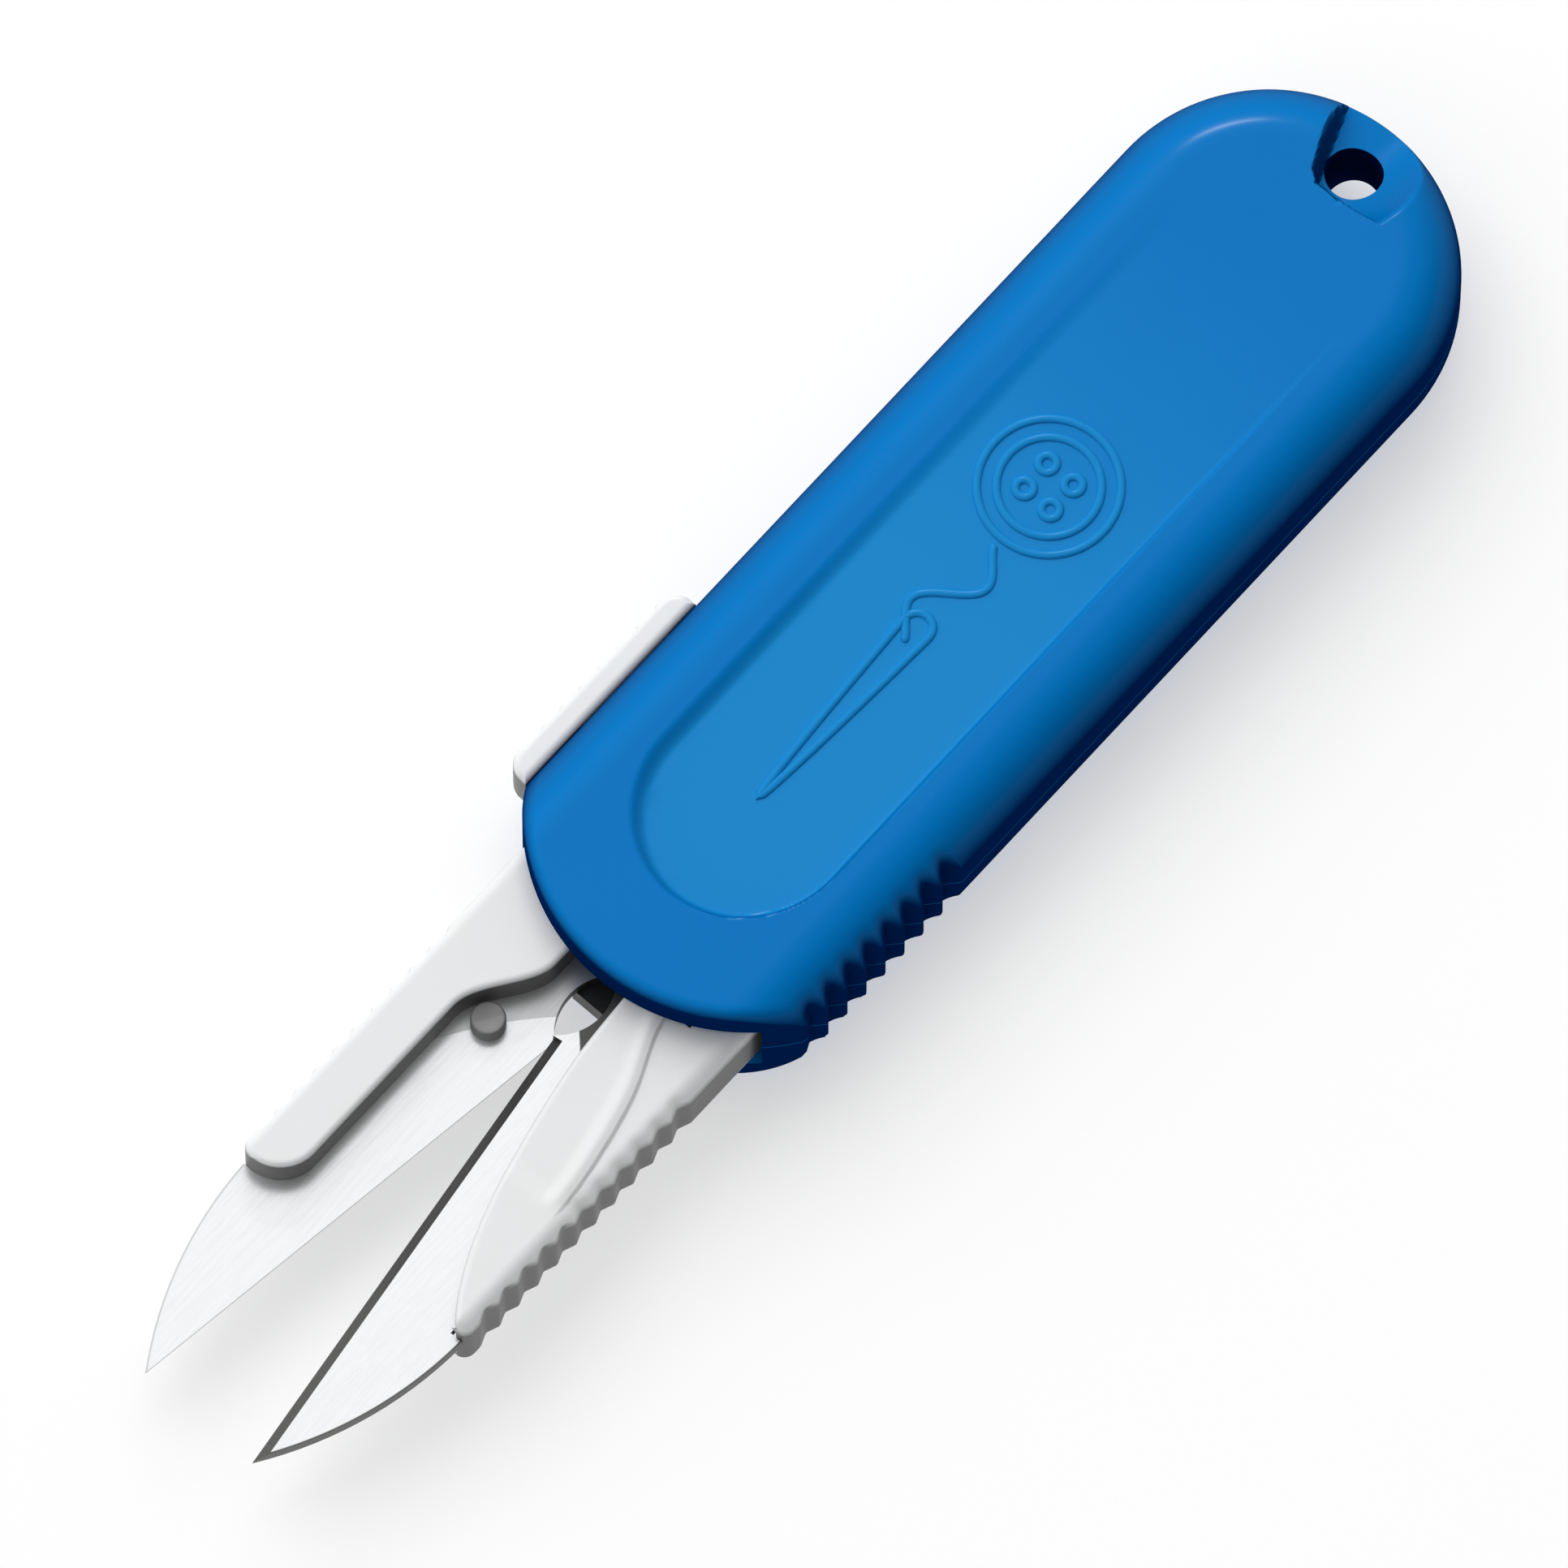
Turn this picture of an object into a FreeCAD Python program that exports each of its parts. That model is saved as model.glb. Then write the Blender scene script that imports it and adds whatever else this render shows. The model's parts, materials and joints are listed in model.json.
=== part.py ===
import FreeCAD, Part
import math
import os

# Retractable thread snips: two sprung finger arms, each moulded over a pointed steel blade, turn on one
# pivot in a carriage that a thumb button slides in and out of a moulded pocket case.
# Millimetres. The origin is on the long axis at the centre of the flat back face. +X points to the blade
# tips, +Z up out of the back face, and the thumb button is on the -Y side. The blades are out and open.

V = FreeCAD.Vector
UP = V(0, 0, 1)
LEFT = 1        # the +Y side
RIGHT = -1      # the -Y side, where the thumb button is

# Finger arms and blades
ARM_SPAN = 20.0             # across the outer edges of the open arms
ARM_THICKNESS = 5.8
ARM_LENGTH_OUT = 24.4       # arm beyond the mouth
ARM_TAIL = 3.0              # arm behind the pivot
ARM_WALL_RIGHT = 4.0        # width of the slender right arm
ARM_END_RADIUS = 3.4
RIGHT_ROOT_WIDTH = 2.85     # inner edge of the right arm at the mouth, off the axis
LEFT_ROOT_WIDTH = 1.9       # inner edge of the left arm at the mouth, off the axis
STEP_DEPTH = 0.45           # the left arm's outer pad lies this much lower than its tongue
# Right arm's inner edge: distance beyond the mouth, and share of the way out from its root to its bar.
RIGHT_SWELL = [(1.2, 0.02), (3.8, 0.4), (6.6, 1.0)]
# Left arm's inner edge and the step in its top: shares of the length beyond the mouth and of the half span.
LEFT_SWEEP = [(0.17, 0.23), (0.42, 0.335), (0.72, 0.55), (0.92, 0.77), (1.0, 0.92)]
LEFT_STEP = [(-0.03, 0.5), (0.295, 0.755), (0.46, 0.9), (0.58, 0.89)]
RIGHT_TEETH = (3.7, 0.9)    # plain edge beyond the mouth, and before the arm's end
LEFT_TEETH = (2.0, 1.4)
BLADE_BARE = 15.2           # steel beyond the ends of the arms
BLADE_THICKNESS = 1.0
BLADE_BACK_INSET = 0.35     # back of the blade inside the outer edge of the arm
TANG_COVER = 1.3            # plastic over the outer edge of the tang
TIP_OFFSET = 4.75           # each open tip, off the axis
CROSSING_AHEAD = 11.0       # where the two cutting edges cross, ahead of the pivot
HEEL_LENGTH = 0.6           # cutting edge behind the crossing
HEEL_RELIEF = 1.42          # depth of the hollow behind the heels, off the axis
HEEL_RELIEF_LENGTH = 6.0
HEEL_ROOT_OFFSET = 0.2      # where the hollow runs into the tang, off the axis
BLADE_BOW = 1.18            # the back's bow outside a straight line to the tip
BEVEL_WIDTH = 0.75
EDGE_LAND = 0.12
CLOSE_DEG = 6.6             # each arm turns this far to shut

# Pivot, its spring and the stop
PIVOT_RADIUS = 1.25
TANG_DISC_RADIUS = 3.6
NOSE_RADIUS = 4.5
CHAMBER_RADIUS = 3.2
PIVOT_SETBACK = 6.0         # pivot behind the mouth lip
LOWER_HEAD_RADIUS = 2.2
HEAD_HEIGHT = 0.5
WASHER_THICKNESS = 0.2
COIL_RADIUS = 2.1           # centre of the wire
COIL_WINDS = 1              # full turns beyond the first
COIL_SPACING = 1.08         # pitch over the wire's thickness
COIL_LEG_DEG = 75.0         # each leg from the long axis
COIL_LEG_LENGTH = 7.0
STUD_AHEAD = 12.4           # stop stud ahead of the pivot
STUD_OFFSET = 4.04
STUD_HEAD_RADIUS = 1.2
STUD_SHANK_RADIUS = 0.8
STUD_HEIGHT = 1.35

# Carriage and button
CARRIAGE_TAIL = 23.0        # carriage behind the pivot
CARRIAGE_SHOULDER = 4.5     # front of its wide block, behind the pivot
TONGUE_REACH = 0.6          # the nose's tongue between the arms, beyond the mouth lip
TONGUE_SIDES = (-1.75, 0.95)    # its right and left edge, clear of the shut arms
CAP_TAIL_INSET = 2.0
RIVET_SHANK_RADIUS = 0.8
RIVET_HEAD_RADIUS = 1.4
RIVET_SPACING = 12.0
RIVET_BEHIND = 14.0         # carriage rivets behind the pivot
STEM_LENGTH = 10.0
STEM_HEIGHT = 2.8
STEM_BEHIND = 11.5          # middle of the button's stem, behind the pivot
STEM_DEPTH = 2.0            # stem held in the carriage
PAD_LENGTH = 17.0
PAD_AHEAD_OF_STEM = 1.7     # middle of the pad ahead of the middle of the stem
PAD_HEIGHT = 4.4
PAD_PROUD = 2.1
PAD_END_RADIUS = 1.5
DETENT_LENGTH = 12.0
DETENT_BEHIND = 14.5
DETENT_HEIGHT = 2.6
DETENT_STRIP = 0.3
DETENT_POCKET_DEPTH = 1.4
NOTCH_RADIUS = 1.6
NOTCH_DEPTH = 0.5

# Case
BLADE_REACH = ARM_LENGTH_OUT + BLADE_BARE
TIP_COVER = 2.4             # tips inside the lip when the blades are in
SIDE_WALL = 2.2
FLOOR_WALL = 2.9
SHOULDER_RADIUS = 4.4
MOUTH_RADIUS = 15.0
MOUTH_EDGE_RADIUS = 0.9
CAVITY_CORNER = 3.0
CORD_HOLE_RADIUS = 2.0
CORD_HOLE_WALL = 2.1        # between the cord hole and the cavity
CORD_RIM_WALL = 2.3         # between the cord hole and the far end
SCOOP_RADIUS = 2.7
SCOOP_DEPTH = 2.6
SCOOP_TURN_DEG = 24.0       # the scoop runs out to the -Y side of the axis
SCOOP_DROP_DEG = 12.0
PANEL_HALF_WIDTH = 7.7
PANEL_DEPTH = 0.8
PANEL_SETBACK = 7.0         # front of the panel behind the mouth lip
PANEL_LENGTH = 60.0
PANEL_CORNER = 6.5
GRIP_START = 7.6            # first grip tooth behind the mouth lip
GRIP_COUNT = 8
GRIP_DEPTH = 0.8
TOOTH_PITCH = 1.9
TOOTH_DEPTH = 0.65          # on the arms and the button
LOCATING_PIN_RADIUS = 0.9
LOCATING_PIN_LENGTH = 1.8
LOCATING_PIN_SPREAD = 13.0
LOCATING_PIN_BEHIND = 1.9   # behind the end of the cavity

# Clearances
SHEAR_GAP = 0.04            # between the two blades
PIVOT_CLEARANCE = 0.03
PLATE_CLEARANCE = 0.08      # carriage plates over and under the tangs
NOSE_CLEARANCE = 0.4        # arms around the carriage nose
TAIL_STOP_GAP = 0.1         # arm tails to the sides of the nose at rest
SIDE_GAP = 0.6              # open arms to the side walls
FACE_GAP = 0.2              # arms and carriage to the floor and roof
SLIDE_GAP = 0.3             # carriage to the side walls
END_GAP = 0.6               # carriage to the end of the cavity, fully in
SLOT_GAP = 0.2              # button stem in its slot
SLOT_END_GAP = 0.3
PAD_GAP = 0.15              # button pad off the side wall
PIN_CLEARANCE = 0.05
DETENT_GAP = 0.1
LEG_GAP = 0.25
LEG_SWEEP = 1.3             # room for each arm to turn past its spring leg
BLADE_PASS_GAP = 0.15       # room in the left arm past the other blade's edge, shut
CUT_OVER = 5.0              # cutters reach this far past a face

# Places that follow from the sizes above
TRAVEL = BLADE_REACH + TIP_COVER
CASE_LENGTH = (CORD_RIM_WALL + 2 * CORD_HOLE_RADIUS + CORD_HOLE_WALL + END_GAP + CARRIAGE_TAIL + TRAVEL
               + PIVOT_SETBACK)
CAVITY_HALF = ARM_SPAN / 2 + SIDE_GAP
CASE_HALF = CAVITY_HALF + SIDE_WALL
CAVITY_RISE = ARM_THICKNESS / 2 + FACE_GAP
CASE_THICKNESS = 2 * (CAVITY_RISE + FLOOR_WALL)
MID = CASE_THICKNESS / 2
MOUTH_X = CASE_LENGTH / 2
PIVOT_X = MOUTH_X - PIVOT_SETBACK
TIP_X = MOUTH_X + BLADE_REACH
ARM_END_X = MOUTH_X + ARM_LENGTH_OUT
CORD_HOLE_X = -MOUTH_X + CORD_RIM_WALL + CORD_HOLE_RADIUS
CAVITY_END_X = CORD_HOLE_X + CORD_HOLE_RADIUS + CORD_HOLE_WALL
FAR_CENTRE_X = -MOUTH_X + CASE_HALF
CARRIAGE_HALF = CAVITY_HALF - SLIDE_GAP
HALF_THICK = ARM_THICKNESS / 2
TANG_TOP = SHEAR_GAP / 2 + BLADE_THICKNESS
PLATE_Z = TANG_TOP + PLATE_CLEARANCE
ARM_HALF = ARM_SPAN / 2
HEAD_LOW = HALF_THICK - PLATE_CLEARANCE - HEAD_HEIGHT
COIL_TURNS = COIL_WINDS + (180 + 2 * COIL_LEG_DEG) / 360
COIL_FLOOR = TANG_TOP + 2 * SHEAR_GAP + WASHER_THICKNESS
COIL_WIRE = (HEAD_LOW - SHEAR_GAP - COIL_FLOOR) / (1 + COIL_TURNS * COIL_SPACING)
COIL_PITCH = COIL_WIRE * COIL_SPACING


def side_point(x, out, side, z=0.0):
    """A point given by its distance out from the axis on one side."""
    return V(x, side * out, z)


def line(a, b):
    return Part.LineSegment(a, b).toShape()


def arc(a, b, c):
    return Part.Arc(a, b, c).toShape()


def spline(points):
    curve = Part.BSplineCurve()
    curve.interpolate(points)
    return curve.toShape()


def path(points):
    """Straight edges from each point to the next."""
    return [line(a, b) for a, b in zip(points, points[1:])]


def prism(edges, low, high):
    """A solid on a closed outline in plan, between two heights from the case's mid plane."""
    face = Part.Face(Part.Wire(edges))
    face.translate(V(0, 0, MID + low))
    return face.extrude(V(0, 0, high - low))


def slab(x_low, x_high, y_low, y_high, low, high):
    """A box, its heights counted from the case's mid plane."""
    return Part.makeBox(x_high - x_low, y_high - y_low, high - low, V(x_low, y_low, MID + low))


def post(x, y, radius, low, high):
    """An upright cylinder, its heights counted from the case's mid plane."""
    return Part.makeCylinder(radius, high - low, V(x, y, MID + low), UP)


def stadium_along_y(x_middle, length, height, y_low, y_high):
    """A bar with round ends, lying along X and pushed through along Y at mid height."""
    radius = height / 2
    left = x_middle - length / 2 + radius
    right = x_middle + length / 2 - radius
    top = MID + radius
    bottom = MID - radius
    edges = [line(V(left, 0, top), V(right, 0, top)),
             arc(V(right, 0, top), V(right + radius, 0, MID), V(right, 0, bottom)),
             line(V(right, 0, bottom), V(left, 0, bottom)),
             arc(V(left, 0, bottom), V(left - radius, 0, MID), V(left, 0, top))]
    face = Part.Face(Part.Wire(edges))
    face.translate(V(0, y_low, 0))
    return face.extrude(V(0, y_high - y_low, 0))


def teeth(first_x, count, edge_y, inward, low, high, depth=TOOTH_DEPTH):
    """Upright V-grooves along an edge at edge_y, cut towards inward."""
    cutters = []
    for index in range(count):
        x = first_x + index * TOOTH_PITCH
        half = TOOTH_PITCH / 2
        corners = [V(x - 2 * half, edge_y - inward * depth, 0),
                   V(x, edge_y + inward * depth, 0),
                   V(x + 2 * half, edge_y - inward * depth, 0)]
        corners.append(corners[0])
        cutters.append(prism(path(corners), low, high))
    return cutters


# ---- Case -------------------------------------------------------------------------------------------

def case_section(left_half_only):
    """Outline of the case across its length, round-shouldered above and below, in the plane x = 0."""
    r = SHOULDER_RADIUS
    flat = CASE_HALF - r
    slant = r * (1 - math.cos(math.radians(45)))
    top = CASE_THICKNESS
    edges = [line(V(0, 0, 0), V(0, flat, 0)),
             arc(V(0, flat, 0), V(0, CASE_HALF - slant, slant), V(0, CASE_HALF, r)),
             line(V(0, CASE_HALF, r), V(0, CASE_HALF, top - r)),
             arc(V(0, CASE_HALF, top - r), V(0, CASE_HALF - slant, top - slant), V(0, flat, top)),
             line(V(0, flat, top), V(0, 0, top))]
    if left_half_only:
        edges.append(line(V(0, 0, top), V(0, 0, 0)))
        return Part.Face(Part.Wire(edges))
    mirrored = [edge.mirror(V(0, 0, 0), V(0, 1, 0)) for edge in reversed(edges)]
    return Part.Face(Part.Wire(Part.__sortEdges__(edges + mirrored)))


def case_block():
    """The closed outer shape: a straight bar, a turned far end and a round mouth end."""
    bar = case_section(False).extrude(V(MOUTH_X - FAR_CENTRE_X, 0, 0))
    bar.translate(V(FAR_CENTRE_X, 0, 0))
    end = case_section(True)
    end.translate(V(FAR_CENTRE_X, 0, 0))
    end = end.revolve(V(FAR_CENTRE_X, 0, 0), UP, 180)
    body = bar.fuse(end).removeSplitter()
    centre_x = MOUTH_X - MOUTH_RADIUS
    beyond = slab(centre_x, MOUTH_X + CUT_OVER, -CASE_HALF - CUT_OVER, CASE_HALF + CUT_OVER,
                  -MID - CUT_OVER, MID + CUT_OVER)
    round_end = post(centre_x, 0, MOUTH_RADIUS, -MID - 2 * CUT_OVER, MID + 2 * CUT_OVER)
    body = body.cut(beyond.cut(round_end))
    return round_mouth_edges(body, centre_x)


def round_mouth_edges(body, centre_x):
    """Round the rim of the mouth end."""
    for face in body.Faces:
        surface = face.Surface
        if isinstance(surface, Part.Cylinder) and abs(surface.Radius - MOUTH_RADIUS) < 1e-6:
            if abs(surface.Center.x - centre_x) < 1e-6:
                return body.makeFillet(MOUTH_EDGE_RADIUS, face.Edges)
    return body


def case_cavity():
    """The hollow that holds the carriage and takes in the arms, open at the mouth."""
    hollow = slab(CAVITY_END_X, MOUTH_X + CUT_OVER, -CAVITY_HALF, CAVITY_HALF, -CAVITY_RISE, CAVITY_RISE)
    rear = [edge for edge in hollow.Edges
            if edge.BoundBox.XMax < CAVITY_END_X + 1e-6 and edge.BoundBox.ZLength > CAVITY_RISE]
    return hollow.makeFillet(CAVITY_CORNER, rear)


def panel_recess():
    """A shallow panel sunk in the front face, deepest near the mouth and running out to nothing."""
    front = MOUTH_X - PANEL_SETBACK
    rear = front - PANEL_LENGTH
    half = PANEL_HALF_WIDTH
    r = PANEL_CORNER
    slant = r * (1 - math.cos(math.radians(45)))
    edges = [line(V(rear, -half, 0), V(front - r, -half, 0)),
             arc(V(front - r, -half, 0), V(front - slant, -half + slant, 0), V(front, -half + r, 0)),
             line(V(front, -half + r, 0), V(front, half - r, 0)),
             arc(V(front, half - r, 0), V(front - slant, half - slant, 0), V(front - r, half, 0)),
             line(V(front - r, half, 0), V(rear, half, 0)),
             line(V(rear, half, 0), V(rear, -half, 0))]
    outline = prism(edges, MID - PANEL_DEPTH - CUT_OVER, MID + CUT_OVER)
    wedge_points = [V(rear, -half - 1, CASE_THICKNESS),
                    V(front, -half - 1, CASE_THICKNESS - PANEL_DEPTH),
                    V(front + CUT_OVER, -half - 1, CASE_THICKNESS - PANEL_DEPTH),
                    V(front + CUT_OVER, -half - 1, CASE_THICKNESS + CUT_OVER),
                    V(rear, -half - 1, CASE_THICKNESS + CUT_OVER)]
    wedge_points.append(wedge_points[0])
    wedge = Part.Face(Part.Wire(path(wedge_points))).extrude(V(0, 2 * half + 2, 0))
    return outline.common(wedge)


def cord_scoop(up):
    """A round-bottomed groove from the cord hole out to the rim, on the front or the back face."""
    height = MID + up * (MID - SCOOP_DEPTH + SCOOP_RADIUS)
    start = V(CORD_HOLE_X, 0, height)
    turn = math.radians(SCOOP_TURN_DEG)
    drop = math.radians(SCOOP_DROP_DEG)
    outward = V(-math.cos(turn) * math.cos(drop), -math.sin(turn) * math.cos(drop), -up * math.sin(drop))
    length = CORD_HOLE_RADIUS + CORD_RIM_WALL + CUT_OVER
    groove = Part.makeCylinder(SCOOP_RADIUS, length, start, outward)
    return groove.fuse(Part.makeSphere(SCOOP_RADIUS, start))


def button_slot():
    """The slot in the side wall that the button's stem runs along."""
    stem_x = PIVOT_X - STEM_BEHIND
    length = STEM_LENGTH + TRAVEL + 2 * SLOT_END_GAP
    return stadium_along_y(stem_x - TRAVEL / 2, length, STEM_HEIGHT + 2 * SLOT_GAP,
                           -CASE_HALF - CUT_OVER, -CAVITY_HALF + SIDE_GAP)


def detent_notches():
    """A hollow in the side wall for the detent spring at each end of the travel."""
    out_x = PIVOT_X - DETENT_BEHIND
    centre_y = CAVITY_HALF + NOTCH_DEPTH - NOTCH_RADIUS
    low = -DETENT_HEIGHT / 2 - DETENT_GAP
    return [post(x, centre_y, NOTCH_RADIUS, low, -low) for x in (out_x, out_x - TRAVEL)]


def locating_pins(radius, low, high):
    """A pair of upright pins beside the cord hole."""
    x = CAVITY_END_X - LOCATING_PIN_BEHIND
    return [post(x, side * LOCATING_PIN_SPREAD / 2, radius, low, high) for side in (LEFT, RIGHT)]


def make_case():
    """The upper and lower shells, which meet on the mid plane."""
    body = case_block().cut(case_cavity())
    body = body.cut(panel_recess())
    grooves = teeth(MOUTH_X - GRIP_START - (GRIP_COUNT - 1) * TOOTH_PITCH, GRIP_COUNT, CASE_HALF, -1,
                    -MID, MID, GRIP_DEPTH)
    hole = post(CORD_HOLE_X, 0, CORD_HOLE_RADIUS, -MID - CUT_OVER, MID + CUT_OVER)
    body = body.cut(grooves + [hole, cord_scoop(1), cord_scoop(-1), button_slot()] + detent_notches())
    reach = CASE_LENGTH
    upper_half = slab(-reach, reach, -reach, reach, 0, CASE_THICKNESS)
    lower_half = slab(-reach, reach, -reach, reach, -CASE_THICKNESS, 0)
    upper = body.common(upper_half)
    upper = upper.fuse(locating_pins(LOCATING_PIN_RADIUS, -LOCATING_PIN_LENGTH, 0)).removeSplitter()
    sockets = locating_pins(LOCATING_PIN_RADIUS + PIN_CLEARANCE, -LOCATING_PIN_LENGTH - FACE_GAP, 0)
    lower = body.common(lower_half).cut(sockets)
    return {"case_upper_shell": upper, "case_lower_shell": lower}


# ---- Carriage and button ----------------------------------------------------------------------------

def nose_outline(rear_x):
    """Plan of the carriage's narrow nose: straight sides and a round end about the pivot."""
    r = NOSE_RADIUS
    return [line(V(rear_x, -r, 0), V(PIVOT_X, -r, 0)),
            arc(V(PIVOT_X, -r, 0), V(PIVOT_X + r, 0, 0), V(PIVOT_X, r, 0)),
            line(V(PIVOT_X, r, 0), V(rear_x, r, 0)),
            line(V(rear_x, r, 0), V(rear_x, -r, 0))]


def carriage_rivet(y, gap=0.0):
    """One rivet, or with a gap the hole for it."""
    x = PIVOT_X - RIVET_BEHIND
    face = HALF_THICK if gap else HALF_THICK - PLATE_CLEARANCE
    shank = post(x, y, RIVET_SHANK_RADIUS, -face, face)
    top = post(x, y, RIVET_HEAD_RADIUS, HALF_THICK - HEAD_HEIGHT, face)
    bottom = post(x, y, RIVET_HEAD_RADIUS, -face, -HALF_THICK + HEAD_HEIGHT)
    return shank.fuse([top, bottom])


def rivet_places():
    return [side * RIVET_SPACING / 2 for side in (LEFT, RIGHT)]


def button_stem():
    """The part of the button that crosses the side wall into the carriage."""
    return stadium_along_y(PIVOT_X - STEM_BEHIND, STEM_LENGTH, STEM_HEIGHT,
                           -CASE_HALF - PAD_GAP, -CARRIAGE_HALF + STEM_DEPTH)


def detent_pocket():
    x = PIVOT_X - DETENT_BEHIND
    half = DETENT_LENGTH / 2 + DETENT_GAP
    rise = DETENT_HEIGHT / 2 + DETENT_GAP
    return slab(x - half, x + half, CARRIAGE_HALF - DETENT_POCKET_DEPTH, CARRIAGE_HALF + CUT_OVER,
                -rise, rise)


def carriage_block(rear_x, low, high):
    """The wide rear block, its back corners rounded as the cavity's are."""
    front_x = PIVOT_X - CARRIAGE_SHOULDER
    block = slab(rear_x, front_x, -CARRIAGE_HALF, CARRIAGE_HALF, low, high)
    rear = [edge for edge in block.Edges
            if edge.BoundBox.XMax < rear_x + 1e-3 and edge.BoundBox.ZLength > (high - low) / 2]
    return block.makeFillet(CAVITY_CORNER, rear)


def make_carriage():
    """The sliding base with its nose and tongue under the blades, and the cap over them."""
    rear_x = PIVOT_X - CARRIAGE_TAIL
    front_x = PIVOT_X - CARRIAGE_SHOULDER
    base = carriage_block(rear_x, -HALF_THICK, PLATE_Z)
    nose = prism(nose_outline(front_x), -HALF_THICK, -PLATE_Z)
    tongue = slab(PIVOT_X, MOUTH_X + TONGUE_REACH, *TONGUE_SIDES, -HALF_THICK, -PLATE_Z)
    base = base.fuse([nose, tongue]).removeSplitter()
    lower_head = post(PIVOT_X, 0, LOWER_HEAD_RADIUS, -HALF_THICK - CUT_OVER, -HALF_THICK + HEAD_HEIGHT)
    shank = post(PIVOT_X, 0, PIVOT_RADIUS, -HALF_THICK, HALF_THICK)
    holes = [carriage_rivet(y, gap=1.0) for y in rivet_places()]
    base = base.cut([lower_head, shank, button_stem(), detent_pocket()] + holes)

    cap = carriage_block(rear_x + CAP_TAIL_INSET, PLATE_Z, HALF_THICK)
    cap = cap.fuse(prism(nose_outline(front_x), PLATE_Z, HALF_THICK)).removeSplitter()
    chamber = post(PIVOT_X, 0, CHAMBER_RADIUS, PLATE_Z - CUT_OVER, HALF_THICK + CUT_OVER)
    legs = [leg_slot(side, LEG_GAP, LEG_GAP) for side in (LEFT, RIGHT)]
    cap = cap.cut([chamber, button_stem(), detent_pocket()] + holes + legs)
    return {"slide_carriage": base, "carriage_cap": cap}


def make_carriage_rivets():
    """Two alike, joining the cap to the base."""
    return {"carriage_rivets": Part.Compound([carriage_rivet(y) for y in rivet_places()])}


def make_button():
    """The thumb button: a ribbed pad outside the case and a stem held in the carriage."""
    pad_x = PIVOT_X - STEM_BEHIND + PAD_AHEAD_OF_STEM
    inner = CASE_HALF + PAD_GAP
    outer = CASE_HALF + PAD_PROUD
    low_x = pad_x - PAD_LENGTH / 2
    high_x = pad_x + PAD_LENGTH / 2
    pad = slab(low_x, high_x, -outer, -inner, -PAD_HEIGHT / 2, PAD_HEIGHT / 2)
    ends = [edge for edge in pad.Edges
            if edge.BoundBox.YMin < -outer + 1e-6 and edge.BoundBox.YMax < -outer + 1e-3
            and edge.BoundBox.ZLength > STEM_HEIGHT]
    pad = pad.makeFillet(PAD_END_RADIUS, ends)
    count = int((PAD_LENGTH - 2 * PAD_END_RADIUS) / TOOTH_PITCH)
    first = pad_x - (count - 1) * TOOTH_PITCH / 2
    pad = pad.cut(teeth(first, count, -outer, 1, -PAD_HEIGHT, PAD_HEIGHT))
    return {"thumb_button": pad.fuse(button_stem()).removeSplitter()}


def make_detent_spring():
    """A bowed steel strip in the carriage's side, which clicks into the case's notches."""
    x = PIVOT_X - DETENT_BEHIND
    half = DETENT_LENGTH / 2
    foot = CARRIAGE_HALF - DETENT_POCKET_DEPTH
    crown = CAVITY_HALF - DETENT_GAP
    edges = [arc(V(x - half, foot, 0), V(x, crown - DETENT_STRIP, 0), V(x + half, foot, 0)),
             line(V(x + half, foot, 0), V(x + half, foot + DETENT_STRIP, 0)),
             arc(V(x + half, foot + DETENT_STRIP, 0), V(x, crown, 0), V(x - half, foot + DETENT_STRIP, 0)),
             line(V(x - half, foot + DETENT_STRIP, 0), V(x - half, foot, 0))]
    return {"detent_spring": prism(edges, -DETENT_HEIGHT / 2, DETENT_HEIGHT / 2)}


# ---- Pivot ------------------------------------------------------------------------------------------

def make_pivot():
    """The rivet that the blades turn on, and the washer between the blades and the spring."""
    shank = post(PIVOT_X, 0, PIVOT_RADIUS, -HALF_THICK + HEAD_HEIGHT, HEAD_LOW)
    upper = post(PIVOT_X, 0, CHAMBER_RADIUS - FACE_GAP, HEAD_LOW, HEAD_LOW + HEAD_HEIGHT)
    lower = post(PIVOT_X, 0, LOWER_HEAD_RADIUS, -HALF_THICK + PLATE_CLEARANCE, -HALF_THICK + HEAD_HEIGHT)
    rivet = shank.fuse([upper, lower]).removeSplitter()
    washer_low = TANG_TOP + SHEAR_GAP
    washer_high = washer_low + WASHER_THICKNESS
    washer = post(PIVOT_X, 0, CHAMBER_RADIUS - FACE_GAP, washer_low, washer_high)
    washer = washer.cut(post(PIVOT_X, 0, PIVOT_RADIUS + PIVOT_CLEARANCE, washer_low, washer_high))
    return {"pivot_rivet": rivet, "pivot_washer": washer}


def leg_ends(side):
    """The start of one spring leg on the coil, and its free end."""
    turn = math.radians(side * (COIL_LEG_DEG - 90))
    level = COIL_FLOOR + COIL_WIRE / 2 + (COIL_TURNS * COIL_PITCH if side == LEFT else 0.0)
    start = V(PIVOT_X + COIL_RADIUS * math.cos(turn), COIL_RADIUS * math.sin(turn), MID + level)
    lean = math.radians(COIL_LEG_DEG)
    along = V(math.cos(lean), side * math.sin(lean), 0)
    return start, along


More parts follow.
